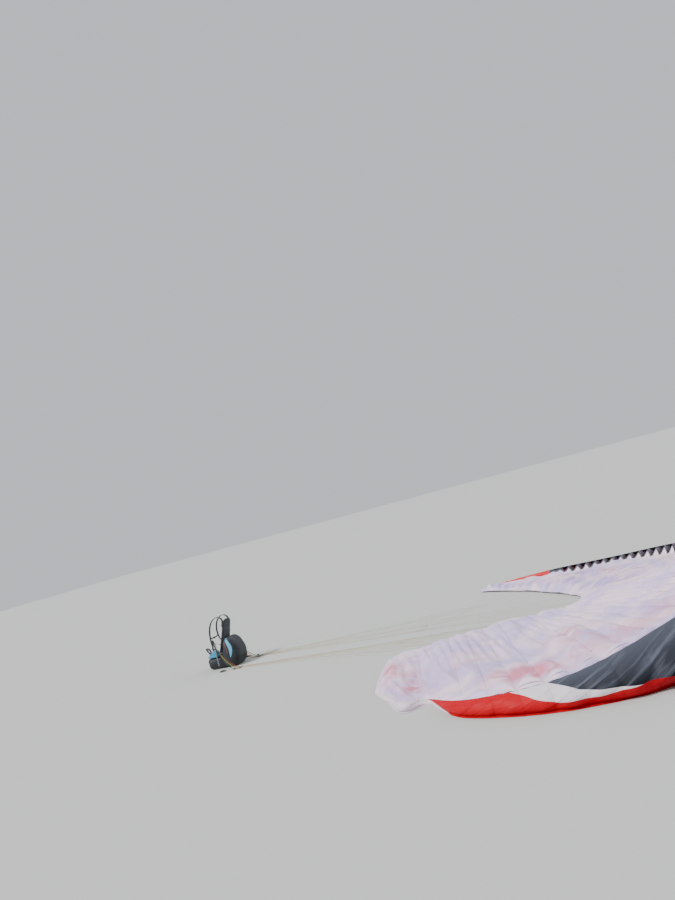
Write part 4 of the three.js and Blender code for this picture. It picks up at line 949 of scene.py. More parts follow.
stainless_steel = metal("polished_stainless_steel", "#c9ccd0", 0.22, 0.15)
anodised_aluminium = metal("anodised_aluminium_grey", "#8d949d", 0.34, 0.1)
for name, side in SIDES:
    for row, (link_x, _, _, _) in LINE_ROWS.items():
        centre = HARNESS + [side * link_x, LINK_Y, LINK_Z]
        ring = rounded_loop(LINK_HALF_WIDTH, LINK_HALF_LENGTH, LINK_ROUND)
        ring = centre + np.column_stack([ring, 0 * ring[:, 0]])
        reach = np.linspace(-1, 1, 9)
        sleeve = centre + np.outer(SLEEVE_HALF * reach, [0, 1, 0]) + [side * LINK_HALF_WIDTH, 0, 0]
        ends = 1 - 0.18 * (np.abs(reach) > 0.9)
        points, faces, flat = joined([sweep(ring, rod(LINK_WIRE, 12), (0, 0, 1), closed=True),
                                      sweep(sleeve, rod(SLEEVE_WIDTH, 6), (1, 0, 0), size=ends)])
        link = mesh_piece(f"quick_link_steel_{row}_{name}", points, faces, "root", uv=flat,
                          material=stainless_steel)
        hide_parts(f"quick_link_{row}_{name}")

# Risers
# Three straps of nylon webbing for each side, sewn into one loop on the carabiner and into one loop
# round each quick link. Their colours tell the rows of lines apart.
STRAP_WIDTH, STRAP_THICKNESS = 0.020, 0.0028
RING_X, RING_Y, RING_Z = 0.212, 0.015, 0.425
RING_HALF_WIDTH, RING_HALF_HEIGHT, RING_ROUND = 0.035, 0.050, 0.016
RING_LOW, RING_HIGH = RING_Z - RING_HALF_HEIGHT, RING_Z + RING_HALF_HEIGHT
# How far each strap lies outside the one before it at the carabiner.
STRAP_STEPS = {"a": 0.0, "b": 0.0042, "c": 0.0084}


def webbing(name, tint, edge):
    """Woven webbing: rows of crosswise threads 2.5 mm apart, drawn at 4 mm so that they show, and
    edges in their own colour."""
    material, tree, shader = new_material(name)
    shader.inputs["Roughness"].default_value = 0.7
    shader.inputs["Sheen Weight"].default_value = 0.15
    flat = add_node(tree, "UVMap", {"uv_map": "flat"})
    split = add_node(tree, "SeparateXYZ", links={0: flat.outputs["UV"]})
    rows = add_node(tree, "Math", {"operation": "PINGPONG", 1: 0.002}, {0: split.outputs[1]})
    columns = add_node(tree, "Math", {"operation": "PINGPONG", 1: 0.0012}, {0: split.outputs[0]})
    weave = add_node(tree, "Math", {"operation": "MULTIPLY"},
                     {0: rows.outputs[0], 1: columns.outputs[0]})
    weave = add_node(tree, "Math", {"operation": "MULTIPLY", 1: 4e5}, {0: weave.outputs[0]})
    middle = add_node(tree, "Math", {"operation": "ABSOLUTE"}, {0: split.outputs[0]})
    rim = add_node(tree, "MapRange", {"From Min": 0.0068, "From Max": 0.0074},
                   {"Value": middle.outputs[0]})
    place_node = add_node(tree, "TexCoord")
    wear = add_node(tree, "TexNoise", {"Scale": 18.0, "Detail": 5.0},
                    {"Vector": place_node.outputs["Object"]})
    faded = add_node(tree, "MapRange", {"From Min": 0.45, "From Max": 0.8, "To Max": 0.3},
                     {"Value": wear.outputs[0]})
    ground = add_node(tree, "Mix", {"data_type": "RGBA", 6: linear(tint), 7: linear(edge)},
                      {0: rim.outputs[0]})
    colour = add_node(tree, "Mix", {"data_type": "RGBA", 7: linear("#8b8a86")},
                      {0: faded.outputs[0], 6: ground.outputs[2]})
    bump = add_node(tree, "Bump", {"Strength": 0.6, "Distance": 0.0008},
                    {"Height": weave.outputs[0]})
    tree.links.new(colour.outputs[2], shader.inputs["Base Color"])
    tree.links.new(bump.outputs[0], shader.inputs["Normal"])
    return material


riser_webbing = {"a": webbing("nylon_webbing_red", "#b5332c", "#5b1a18"),
                 "b": webbing("nylon_webbing_green", "#a3c63a", "#50651c"),
                 "c": webbing("nylon_webbing_black", "#1f2126", "#30343c")}


def mirrored(table, side):
    """A table of x, y, z and the width's direction, for one side of the harness: the path and the
    width directions."""
    table = np.array(table) * [side, 1, 1, 1, side, side]
    return HARNESS + table[:, :3], table[:, 3:]


def riser_table(end_x, step):
    """The way of a riser strap from the carabiner over the hip and down to its quick link, where it
    turns round the link's bar. Columns: x, y, z, and the direction of its width."""
    return [[0.212, 0.018, 0.507 + step, 0, 1, 0], [0.222, 0.014, 0.530 + step, 0, 1, 0],
            [0.250 + step, 0.008, 0.524 + step, 0, 1, 0.1], [0.262 + step, -0.010, 0.470, 0, 1, 0.4],
            [0.272 + step, -0.070, 0.340, 0.2, 0.8, 0.5],
            [(0.290 + end_x) / 2, -0.200, 0.170, 0.8, 0.2, 0.3], [end_x - 0.006, -0.330, 0.050, 1, 0, 0],
            [end_x, -0.400, 0.012, 1, 0, 0], [end_x, -0.440, 0.004, 1, 0, 0],
            [end_x, -0.500, 0.004, 1, 0, 0], [end_x, -0.538, 0.005, 1, 0, 0]]


# The strap's loop round the quick link's bar, in y and z: down to the bar, round it, and back.
LOOP_Y, LOOP_HALF_Y, LOOP_HALF_Z = -0.5474, 0.0046, 0.0042
flat_strap = oval(STRAP_WIDTH, STRAP_THICKNESS, 6, 20)
for name, side in SIDES:
    for row, step in STRAP_STEPS.items():
        end_x = LINE_ROWS[row][0]
        path, width = mirrored(riser_table(end_x, step), side)
        parts = [sweep(smooth_path(path, 90), flat_strap, smooth_path(width, 90))]
        turn = np.linspace(0.25 * np.pi, 1.75 * np.pi, 15)
        loop = np.stack([0 * turn, LOOP_Y + LOOP_HALF_Y * np.cos(turn),
                         LINK_Z + LOOP_HALF_Z * np.sin(turn)], axis=1)
        loop = np.vstack([[0, -0.515, 0.0078], [0, -0.535, 0.0082], loop,
                          [0, -0.535, 0.0022], [0, -0.515, 0.0022]])
        loop[:, 2] = np.maximum(loop[:, 2], 0.0017)
        parts.append(sweep(HARNESS + [side * end_x, 0, 0] + loop, flat_strap * [0.9, 0.7], (1, 0, 0)))
        if row == "a":
            turn = np.linspace(0, np.pi, 13)
            bend = 0.0075 * np.stack([0 * turn, np.cos(turn), -np.sin(turn)], axis=1)
            bend = np.vstack([[0, 0.0035, 0.045], [0, 0.0065, 0.02], bend,
                              [0, -0.0065, 0.02], [0, -0.0035, 0.045]])
            parts.append(sweep(HARNESS + [side * RING_X, RING_Y, RING_HIGH] + bend, flat_strap, (1, 0, 0)))
        points, faces, flat = joined(parts)
        riser = mesh_piece(f"riser_strap_{row}_{name}", points, faces, "root", uv=flat,
                           material=riser_webbing[row])
        if row == "a":
            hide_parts(f"riser_{name}")

# Carabiners
# The main carabiners are forged aluminium rings, anodised grey, with a steel gate that turns inwards
# on a pin at its lower end. They join the risers to the harness.
GATE_HALF = 0.023
RING_THICKNESS, GATE_THICKNESS = 0.0098, 0.0082
# The gap between the ring's ends and the gate, and how the ends swell round the gate's pin and latch.
GATE_GAP, END_SWELL, END_LENGTH = 0.0015, 0.14, 0.008
# The gate's outline. Columns: share of the half length, share of the thickness.
GATE_OUTLINE = np.array([[-1, 0.5], [-0.96, 0.85], [-0.9, 1], [-0.62, 1], [-0.6, 1.12], [-0.57, 1.16],
                         [0.1, 1.16], [0.13, 1.12], [0.15, 1], [0.9, 1], [0.96, 0.85], [1, 0.5]])

for name, side in SIDES:
    loop = rounded_loop(RING_HALF_WIDTH, RING_HALF_HEIGHT, RING_ROUND, 14)
    loop = np.vstack([[RING_HALF_WIDTH, GATE_HALF + GATE_GAP], loop,
                      [RING_HALF_WIDTH, -GATE_HALF - GATE_GAP]])
    at = ways(loop)
    even = np.linspace(0, at[-1], 90)
    loop = np.stack([np.interp(even, at, loop[:, k]) for k in (0, 1)], axis=1)
    ring = HARNESS + np.stack([side * (RING_X + loop[:, 0]), RING_Y + 0 * even, RING_Z + loop[:, 1]], axis=1)
    from_end = np.minimum(even, at[-1] - even)
    thick = 1 + END_SWELL * np.exp(-(from_end / END_LENGTH) ** 2)
    points, faces, _ = sweep(ring, oval(RING_THICKNESS, RING_THICKNESS, 3, 16), (0, 1, 0), size=thick)
    body = mesh_piece(f"carabiner_ring_{name}", points, faces, "root", material=anodised_aluminium)
    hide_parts(f"carabiner_{name}")
    heights, widths = GATE_OUTLINE.T
    gate_x = side * (RING_X + RING_HALF_WIDTH)
    stem = HARNESS + np.stack([gate_x + 0 * heights, RING_Y + 0 * heights,
                               RING_Z + heights * (GATE_HALF - 0.0006)], axis=1)
    points, faces, _ = sweep(stem, rod(GATE_THICKNESS, 20), (0, 1, 0), size=widths)
    gate = mesh_piece(f"carabiner_gate_steel_{name}", points, faces, f"gate_{name}", material=stainless_steel)
    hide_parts(f"carabiner_gate_{name}")

# Spreader arms
# Two flat bars of anodised aluminium carry the passenger beside the pilot. Each hangs by its eye on
# the carabiner's lower bar and swings on it; the lower eye takes the passenger's own loop.
ARM_X, ARM_TOP, ARM_LENGTH = 0.222, 0.3724, 0.290
ARM_WIDTH, ARM_THICKNESS, WAIST = 0.028, 0.0056, 0.22
EYE_RADIUS, EYE_WIDTH, EYE_THICKNESS, EYE_END = 0.012, 0.0078, 0.0058, 0.0145

for name, side in SIDES:
    parts = []
    for height in (ARM_TOP, ARM_TOP - ARM_LENGTH):
        turn = np.linspace(0, 2 * np.pi, 33)[:-1]
        circle = np.stack([0 * turn, np.cos(turn), np.sin(turn)], axis=1)
        eye = HARNESS + [side * ARM_X, RING_Y, height] + EYE_RADIUS * circle
        parts.append(sweep(eye, oval(EYE_WIDTH, EYE_THICKNESS, 4, 16), circle, closed=True))
    reach = np.linspace(-EYE_END, -ARM_LENGTH + EYE_END, 30)
    shank = HARNESS + np.stack([side * ARM_X + 0 * reach, RING_Y + 0 * reach, ARM_TOP + reach], axis=1)
    waist = 1 - WAIST * np.sin(np.linspace(0, np.pi, 30)) ** 0.6
    parts.append(sweep(shank, oval(ARM_WIDTH, ARM_THICKNESS, 5, 16), (0, 1, 0),
                       size=np.stack([waist, 1 + 0 * waist], axis=1)))
    points, faces, flat = joined(parts)
    arm = mesh_piece(f"spreader_bar_{name}", points, faces, f"spreader_{name}", uv=flat,
                     material=anodised_aluminium)
    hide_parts(f"spreader_arm_{name}")

# Brakes
# Each brake handle is a padded loop of webbing at the end of an orange cord. The cord runs through a
# pulley with an aluminium wheel in a moulded black housing beside the rear riser.
CORD_X, CORD_END, CORD_THICKNESS = 0.42605, -0.770, 0.0025
PULLEY_X, PULLEY_Y, PULLEY_Z = 0.417, -0.430, 0.014
HANDLE_FOOT = -0.262
CHEEK_WIDTH, CHEEK_HEIGHT, CHEEK_OFF = 0.030, 0.028, 0.006
AXLE_THICKNESS, AXLE_HALF = 0.0048, 0.0075
SPINE_X, SPINE_Z, SPINE_HALF = 0.3993, 0.0118, 0.0138
# The wheel's turned section round its bore. Columns: way outwards from WHEEL_MIDDLE, way up.
WHEEL_MIDDLE = 0.0063
WHEEL_SECTION = np.array([[-0.0034, 0.0038], [0.0030, 0.0038], [0.0034, 0.0034], [0.0034, 0.0026],
                          [0.0012, 0.0008], [0.0012, -0.0008], [0.0034, -0.0026], [0.0034, -0.0034],
                          [0.0030, -0.0038], [-0.0034, -0.0038]])
# The handle's middle line, from the cord's knot round the grip and back. Columns: x, y.
GRIP = np.array([[0.004, 0.006], [0.016, 0.045], [0.036, 0.085], [0.034, 0.103], [0, 0.106],
                 [-0.034, 0.103], [-0.036, 0.085], [-0.016, 0.045], [-0.004, 0.006]])
GRIP_Z, GRIP_WIDTH, GRIP_THICKNESS = 0.0125, 0.019, 0.016

moulded_plastic, tree, shader = new_material("moulded_black_acetal")
shader.inputs["Base Color"].default_value = linear("#17181b")
place_node = add_node(tree, "TexCoord")
grain = add_node(tree, "TexNoise", {"Scale": 900.0, "Detail": 2.0},
                 {"Vector": place_node.outputs["Object"]})
rough = add_node(tree, "MapRange", {"To Min": 0.38, "To Max": 0.55}, {"Value": grain.outputs[0]})
bump = add_node(tree, "Bump", {"Strength": 0.2, "Distance": 0.0002}, {"Height": grain.outputs[0]})
tree.links.new(rough.outputs[0], shader.inputs["Roughness"])
tree.links.new(bump.outputs[0], shader.inputs["Normal"])


def straight(centre, way, steps):
    """Points on a straight path through a centre: the way times each step."""
    return np.asarray(centre, dtype=float) + np.outer(steps, way)


for name, side in SIDES:
    pulley = HARNESS + [side * PULLEY_X, PULLEY_Y, PULLEY_Z]
    housing = []
    rows = np.linspace(-1, 1, 5)
    for up in (-CHEEK_OFF, CHEEK_OFF):
        pin = straight(pulley + [-side * 0.001, 0, up], (0, 0, 0.001), rows)
        housing.append(sweep(pin, oval(CHEEK_WIDTH, CHEEK_HEIGHT, 2.6, 28), (0, 1, 0),
                             size=1 - 0.06 * (np.abs(rows) > 0.9)))
    rows = np.linspace(-1, 1, 9)
    housing.append(sweep(straight(pulley, (0, 0, AXLE_HALF), rows), rod(AXLE_THICKNESS, 16), (1, 0, 0),
                         size=1 + 0.3 * (np.abs(rows) > 0.8)))
    spine = straight(HARNESS + [side * SPINE_X, PULLEY_Y, SPINE_Z], (0, SPINE_HALF, 0), rows)
    housing.append(sweep(spine, oval(0.0092, 0.0180, 5, 16), (1, 0, 0),
                         size=(1.002 - np.abs(rows) ** 8) ** 0.25))
    points, faces, flat = joined(housing)
    block = mesh_piece(f"brake_pulley_housing_{name}", points, faces, "root", uv=flat,
                       material=moulded_plastic)
    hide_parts(f"brake_pulley_{name}")
    turn = np.linspace(0, 2 * np.pi, 33)[:-1]
    circle = np.stack([np.cos(turn), np.sin(turn), 0 * turn], axis=1)
    points, faces, _ = sweep(pulley + WHEEL_MIDDLE * circle, WHEEL_SECTION, circle, closed=True)
    wheel = mesh_piece(f"brake_wheel_turned_{name}", points, faces, f"pulley_wheel_{name}",
                       material=anodised_aluminium)
    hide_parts(f"brake_wheel_{name}")
    way = np.linspace(CORD_END, HANDLE_FOOT + 0.012, 40)
    cord_path = straight(HARNESS + [side * CORD_X, 0, PULLEY_Z], (0, 1, 0), way)
    points, faces, flat = sweep(cord_path, rod(CORD_THICKNESS, 8), (0, 0, 1))
    cord = mesh_piece(f"brake_cord_braided_{name}", points, faces, f"brake_{name}", uv=flat,
                      material=line_sheaths["brake"])
    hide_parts(f"brake_cord_{name}")
    grip = smooth_path(np.column_stack([GRIP, np.full(len(GRIP), GRIP_Z)]), 70)
    swollen = 0.75 + 0.25 * np.sin(np.linspace(0, np.pi, 70)) ** 0.5
    points, faces, flat = sweep(HARNESS + [side * CORD_X, HANDLE_FOOT, 0] + grip,
                                oval(GRIP_WIDTH, GRIP_THICKNESS, 3, 18), (0, 0, 1), size=swollen)
    handle = mesh_piece(f"brake_handle_padded_{name}", points, faces, f"brake_{name}", uv=flat,
                        material=riser_webbing["c"])
    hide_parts(f"brake_handle_{name}")

# Air bag
# The pilot sits on an air bag of coated nylon, which also covers the reserve parachute behind the
# back. It is sewn from two side panels and a band round the edge, with piping in the seams.
# Columns: y and z that the curve bends towards, y and z of its end.
BAG_CURVES = np.array([
    [-0.250, 0.025, -0.250, 0.025], [0.230, 0.025, 0.230, 0.025], [0.290, 0.025, 0.290, 0.090],
    [0.290, 0.150, 0.290, 0.150], [0.290, 0.190, 0.250, 0.190], [-0.040, 0.190, -0.040, 0.190],
    [-0.150, 0.480, -0.150, 0.480], [-0.230, 0.540, -0.320, 0.440], [-0.420, 0.320, -0.390, 0.170],
    [-0.370, 0.025, -0.250, 0.025],
])
BAG_HALF = 0.190
BAG_MIDDLE = np.array([-0.17, 0.13])
# How far the start shape lies outside the curves, and how square its section is.
BAG_MARGIN, BAG_SQUARE = 0.012, 0.36
# The seam between a side panel and the band: x, width, and how far it draws the cloth in.
PIPING_X, PIPING_WIDTH, PIPING_DRAW = 0.158, 0.008, 0.030
# The black base's upper seam: height, how steeply it rises behind BASE_BEND, width and depth.
BASE_HEIGHT, BASE_RISE, BASE_BEND, BASE_SEAM, BASE_DRAW = 0.115, 0.15, -0.1, 0.006, 0.007
# The curved stripe on the bag's sides. Columns: height, middle y, half width.
STRIPE = np.array([[0.18, -0.262, 0.006], [0.26, -0.288, 0.027], [0.34, -0.290, 0.036],
                   [0.42, -0.262, 0.034], [0.50, -0.212, 0.020]])
STRIPE_BORDER = 0.007


def evenly(points, count):
    """A closed outline with its points equally far apart."""
    points = np.vstack([points, points[:1]])
    way = ways(points)
    even = np.linspace(0, way[-1], count + 1)[:-1]
    return np.stack([np.interp(even, way, points[:, k]) for k in (0, 1)], axis=1)


def grown(outline, margin):
    """A closed outline moved outwards by a margin along its normals, for an anticlockwise outline."""
    ahead = np.roll(outline, -1, 0) - np.roll(outline, 1, 0)
    ahead /= np.linalg.norm(ahead, axis=1)[:, None]
    return outline + margin * np.stack([ahead[:, 1], -ahead[:, 0]], axis=1)


def filled(points, faces, voxel, pressure, cap, slack=0.0):
    """A padded form out of a start shape: even cloth by remeshing, swollen by a cloth simulation with
    air inside. The cloth is cut larger than the shape by a slack share, and no point moves further
    than the cap. Returns the points and faces."""
    mesh = bpy.data.meshes.new("start")
    mesh.from_pydata(np.asarray(points).tolist(), [], faces if isinstance(faces, list) else faces.tolist())
    start = bpy.data.objects.new("start", mesh)
    bpy.context.collection.objects.link(start)
    even = start.modifiers.new("even cloth", "REMESH")
    even.mode = "VOXEL"
    even.voxel_size = voxel
    graph = bpy.context.evaluated_depsgraph_get()
    cloth_mesh = bpy.data.meshes.new_from_object(start.evaluated_get(graph))
    bpy.data.objects.remove(start)
    count = len(cloth_mesh.vertices)
    before = np.zeros(3 * count)
    cloth_mesh.vertices.foreach_get("co", before)
    after = before.copy()
    pad = bpy.data.objects.new("pad", cloth_mesh)
    bpy.context.collection.objects.link(pad)
    cloth = pad.modifiers.new("air", "CLOTH")
    cloth.settings.use_pressure = True
    cloth.settings.uniform_pressure_force = pressure
    cloth.settings.shrink_min = -slack
    cloth.settings.effector_weights.gravity = 0
    cloth.settings.quality = 4
    for step in range(1, 21):
        bpy.context.scene.frame_set(step)
    graph = bpy.context.evaluated_depsgraph_get()
    swollen = pad.evaluated_get(graph).to_mesh()
    swollen.vertices.foreach_get("co", after)
    pad.evaluated_get(graph).to_mesh_clear()
    bpy.data.objects.remove(pad)
    bpy.context.scene.frame_set(1)
    before, after = before.reshape(-1, 3), after.reshape(-1, 3)
    move = after - before
    length = np.maximum(np.linalg.norm(move, axis=1), 1e-9)[:, None]
    move *= np.minimum(cap / length, 1)
    corners = [list(face.vertices) for face in cloth_mesh.polygons]
    return before + move, corners


def finer(piece):
    """One step of subdivision, so that a padded piece shows no facets."""
    smooth = piece.modifiers.new("finer", "SUBSURF")
    smooth.levels = smooth.render_levels = 1


def fabric(name, tint, second, thread, roughness, sheen):
    """A plain weave of coated nylon on Object coordinates: two crossed sets of threads of a given
    width, dust in soft patches, and small creases. A wave texture repeats 0.314 / Scale apart."""
    material, tree, shader = new_material(name)
    shader.inputs["Roughness"].default_value = roughness
    shader.inputs["Sheen Weight"].default_value = sheen
    place_node = add_node(tree, "TexCoord")
    threads = [add_node(tree, "TexWave", {"Scale": 0.314 / (2 * thread), "bands_direction": axis},
                        {"Vector": place_node.outputs["Object"]}) for axis in ("Y", "Z")]
    weave = add_node(tree, "Math", {"operation": "MULTIPLY"},
                     {0: threads[0].outputs[1], 1: threads[1].outputs[1]})
    dust = add_node(tree, "TexNoise", {"Scale": 7.0, "Detail": 6.0},
                    {"Vector": place_node.outputs["Object"]})
    patch = add_node(tree, "MapRange", {"From Min": 0.4, "From Max": 0.75},
                     {"Value": dust.outputs[0]})
    colour = add_node(tree, "Mix", {"data_type": "RGBA", 6: linear(tint), 7: linear(second)},
                      {0: patch.outputs[0]})
    fine = add_node(tree, "Bump", {"Strength": 0.5, "Distance": 0.0006},
                    {"Height": weave.outputs[0]})
    creases = add_node(tree, "TexNoise", {"Scale": 16.0, "Detail": 3.0, "Distortion": 1.0},
                       {"Vector": place_node.outputs["Object"]})
    bump = add_node(tree, "Bump", {"Strength": 0.6, "Distance": 0.006},
                    {"Height": creases.outputs[0], "Normal": fine.outputs[0]})
    tree.links.new(colour.outputs[2], shader.inputs["Base Color"])
    tree.links.new(bump.outputs[0], shader.inputs["Normal"])
    return material, tree, shader, colour


bag_nylon, tree, shader, tinted = fabric("coated_nylon_harness", "#1f232b", "#2b2f39", 0.003, 0.55, 0.12)
for label, tint in (("black_zone", "#121317"), ("blue_zone", "#58b7da")):
    zone = add_node(tree, "Attribute", {"attribute_name": label})
    inside = add_node(tree, "MapRange", {"From Min": -0.0015, "From Max": 0.0015},
                      {"Value": zone.outputs["Fac"]})
    tinted = add_node(tree, "Mix", {"data_type": "RGBA", 7: linear(tint)},
                      {0: inside.outputs[0], 6: tinted.outputs[2]})
tree.links.new(tinted.outputs[2], shader.inputs["Base Color"])


def above_base(local):
    """How far points lie above the black base's seam."""
    return local[:, 2] - BASE_HEIGHT - BASE_RISE * np.maximum(0, BASE_BEND - local[:, 1])


def within_stripe(local):
    """How far points lie within the curved stripe. Past its ends it narrows to a point."""
    row = np.clip((local[:, 2] - STRIPE[0, 0]) / (STRIPE[1, 0] - STRIPE[0, 0]), -1, len(STRIPE))
    on_stripe = np.clip(row, 0, len(STRIPE) - 1)
    middle, half = through(STRIPE[:, 1:], on_stripe).T
    return half - 0.1 * np.abs(row - on_stripe) - np.abs(local[:, 1] - middle)


bends = np.linspace(0, 1, 12)[1:, None]
curves = [BAG_CURVES[k, 2:] * (1 - bends) ** 2 + 2 * BAG_CURVES[k + 1, :2] * bends * (1 - bends)
          + BAG_CURVES[k + 1, 2:] * bends ** 2 for k in range(len(BAG_CURVES) - 1)]
bag_edge = evenly(np.vstack([BAG_CURVES[:1, 2:]] + curves), 160)
turn = np.linspace(-0.5 * np.pi, 0.5 * np.pi, 23)
steps = np.sign(np.sin(turn)) * np.abs(np.sin(turn)) ** BAG_SQUARE
shrink = np.maximum(np.cos(turn), 0.002) ** BAG_SQUARE
spine = HARNESS + np.stack([BAG_HALF * steps, BAG_MIDDLE[0] + 0 * steps, BAG_MIDDLE[1] + 0 * steps], axis=1)
start = sweep(spine, grown(bag_edge, BAG_MARGIN) - BAG_MIDDLE, (0, 1, 0), size=shrink)
points, faces = filled(start[0], start[1], 0.009, 5.0, 0.014, slack=0.03)
local = points - HARNESS
seam = np.exp(-((np.abs(local[:, 0]) - PIPING_X) / PIPING_WIDTH) ** 2)
points[:, 1:] -= (local[:, 1:] - BAG_MIDDLE) * (PIPING_DRAW * seam)[:, None]
quilt = np.exp(-(above_base(local) / BASE_SEAM) ** 2)
points[:, 0] -= np.sign(local[:, 0]) * BASE_DRAW * quilt * (np.abs(local[:, 0]) > 0.12)
points[:, 2] = np.maximum(points[:, 2], 0.0008)
local = points - HARNESS
stripe = within_stripe(local)
attributes = {"black_zone": np.maximum(-above_base(local), STRIPE_BORDER - np.abs(stripe)),
              "blue_zone": stripe}
bag = mesh_piece("airbag_cover", points, faces, "root", attributes=attributes, material=bag_nylon)
finer(bag)
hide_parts("harness_airbag")

black_fabric = fabric("coated_nylon_black", "#17181c", "#24262b", 0.003, 0.6, 0.2)[0]
blue_fabric = fabric("coated_nylon_blue", "#2f93bd", "#4aa5c6", 0.003, 0.6, 0.2)[0]
# The zip's middle line on either side of the bag. Columns: y, z.
ZIP_LINE = [[-0.135, 0.475], [-0.180, 0.420], [-0.212, 0.340], [-0.215, 0.250]]
for name, side in SIDES:
    seam = points[np.abs(local[:, 0] - side * PIPING_X) < 0.007]
    edge = HARNESS[1:] + grown(bag_edge, 0.02)
    apart = np.linalg.norm(edge[:, None] - seam[None, :, 1:], axis=2)
    edge = seam[apart.argmin(axis=1), 1:]
    edge = (edge + np.roll(edge, 1, 0) + np.roll(edge, -1, 0)) / 3
    edge = np.column_stack([np.full(len(edge), HARNESS[0] + side * PIPING_X), evenly(edge, 160)])
    edge[:, 2] = np.maximum(edge[:, 2], 0.004)
    cord, cord_faces, _ = sweep(edge, rod(0.006, 8), (1, 0, 0), closed=True)
    piping = mesh_piece(f"airbag_piping_{name}", cord, cord_faces, "root", material=black_fabric)
    side_points = points[local[:, 0] * side > 0.1]
    line = smooth_path(ZIP_LINE, 40) + HARNESS[1:]
    nearest = np.linalg.norm(line[:, None] - side_points[None, :, 1:], axis=2).argmin(axis=1)
    depth = np.pad(side_points[nearest, 0], 3, mode="edge")
    line = np.column_stack([np.convolve(depth, np.full(7, 1 / 7), mode="valid"), line])
    beside = np.gradient(line, axis=0)[:, [0, 2, 1]] * [0, 1, -1]
    tape, tape_faces, flat = sweep(line, oval(0.009, 0.005, 3, 10), beside)
    zipper = mesh_piece(f"airbag_zip_{name}", tape, tape_faces, "root", uv=flat, material=riser_webbing["a"])

# Seat, back and hip panels
# The seat and the back are foam pads in grey spacer mesh, sewn through in channels so that they bend
# with the pilot. The hips are pads in blue nylon.
BACK_FOOT = np.array([-0.040, 0.190])
BACK_LEAN = np.array([-0.35466, 0.93500])
BACK_OUT = np.array([0.93500, 0.35466])

spacer_mesh, tree, shader, ground = fabric("spacer_mesh_grey", "#2d3037", "#3b3e46", 0.004, 0.8, 0.2)
place_node = add_node(tree, "TexCoord")
# Painted shade: the mesh's holes, drawn by a Voronoi noise, are darker for the shade inside them.
holes = add_node(tree, "TexVoronoi", {"Scale": 330.0, "Randomness": 0.3},
                 {"Vector": place_node.outputs["Object"]})
hole_shade = add_node(tree, "MapRange", {"From Min": 0.1, "From Max": 0.4}, {"Value": holes.outputs[0]})
darker = add_node(tree, "Mix", {"data_type": "RGBA", 6: linear("#1a1c21")},
                  {0: hole_shade.outputs[0], 7: ground.outputs[2]})
tree.links.new(darker.outputs[2], shader.inputs["Base Color"])


def pillow(centre, across, up, outline, thickness):
    """The start shape of a pad: its outline, drawn in the directions across and up, grows and shrinks
    over the thickness as a superellipse does."""
    across, up = np.asarray(across, dtype=float), np.asarray(up, dtype=float)
    turn = np.linspace(-0.5 * np.pi, 0.5 * np.pi, 15)
    steps = np.sign(np.sin(turn)) * np.abs(np.sin(turn)) ** 0.5
    shrink = np.maximum(np.cos(turn), 0.004) ** 0.2
    path = centre + np.outer(steps * thickness / 2, np.cross(across, up))
    return sweep(path, outline, across, size=shrink)


def channel(points, way, lines, centre, normal, depth, width=0.005):
    """Sewn lines across a pad: near each line both faces draw in towards the pad's middle plane."""
    off = (points - centre) @ normal
    near = np.exp(-((way[:, None] - np.asarray(lines)) / width) ** 2).max(axis=1)
    return points - normal * (off * depth * near)[:, None]


SEAT_CENTRE, SEAT_HALF_WIDTH, SEAT_HALF_DEPTH, SEAT_ROUND = (0, 0.1425, 0.2305), 0.162, 0.134, 0.03
SEAT_THICKNESS, SEAT_LOW, SEAT_HIGH = 0.024, 0.2156, 0.2452
seat_centre = HARNESS + SEAT_CENTRE
seat_outline = rounded_loop(SEAT_HALF_WIDTH, SEAT_HALF_DEPTH, SEAT_ROUND, 10)
start = pillow(seat_centre, (1, 0, 0), (0, 1, 0), seat_outline, SEAT_THICKNESS)
points, faces = filled(start[0], start[1], 0.005, 4.0, 0.004)
points = channel(points, points[:, 1] - seat_centre[1], [-0.075, 0, 0.075], seat_centre,
                 np.array([0, 0, 1.0]), 0.45)
points[:, 2] = np.clip(points[:, 2], SEAT_LOW, SEAT_HIGH)
seat = mesh_piece("seat_cushion", points, faces, "root", material=spacer_mesh)
finer(seat)
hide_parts("seat_pad")

# The back pad: half width at its foot and how much less at its top, height, share of the height at
# which its top begins to round, thickness.
BACK_HALF, BACK_TAPER, BACK_HEIGHT, BACK_ROUND, BACK_THICKNESS = 0.158, 0.040, 0.62, 0.86, 0.036
back_way = np.linspace(0, 1, 30)
past_round = (np.maximum(back_way, BACK_ROUND) - BACK_ROUND) / (1 - BACK_ROUND)
top_round = np.minimum(1, np.sqrt(np.maximum(1 - past_round ** 2, 0)) * 0.5 + 0.5)
back_half = (BACK_HALF - BACK_TAPER * back_way) * top_round
right_edge = np.column_stack([back_half, BACK_HEIGHT * (back_way - 0.5)])
back_outline = evenly(np.vstack([right_edge, right_edge[::-1] * [-1, 1]]), 120)
back_plane = BACK_FOOT + BACK_OUT * 0.0473 + BACK_LEAN * 0.380
back_centre = HARNESS + [0, *back_plane]
back_up = np.array([0, *BACK_LEAN])
back_normal = np.cross([1.0, 0, 0], back_up)
start = pillow(back_centre, (1, 0, 0), back_up, back_outline, BACK_THICKNESS)
points, faces = filled(start[0], start[1], 0.006, 4.0, 0.006)
along = (points - back_centre) @ back_up
points = channel(points, along, [-0.2, -0.1, 0.0, 0.1, 0.2], back_centre, back_normal, 0.4, 0.006)
back = mesh_piece("back_cushion", points, faces, "root", material=spacer_mesh)
finer(back)
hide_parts("back_panel")

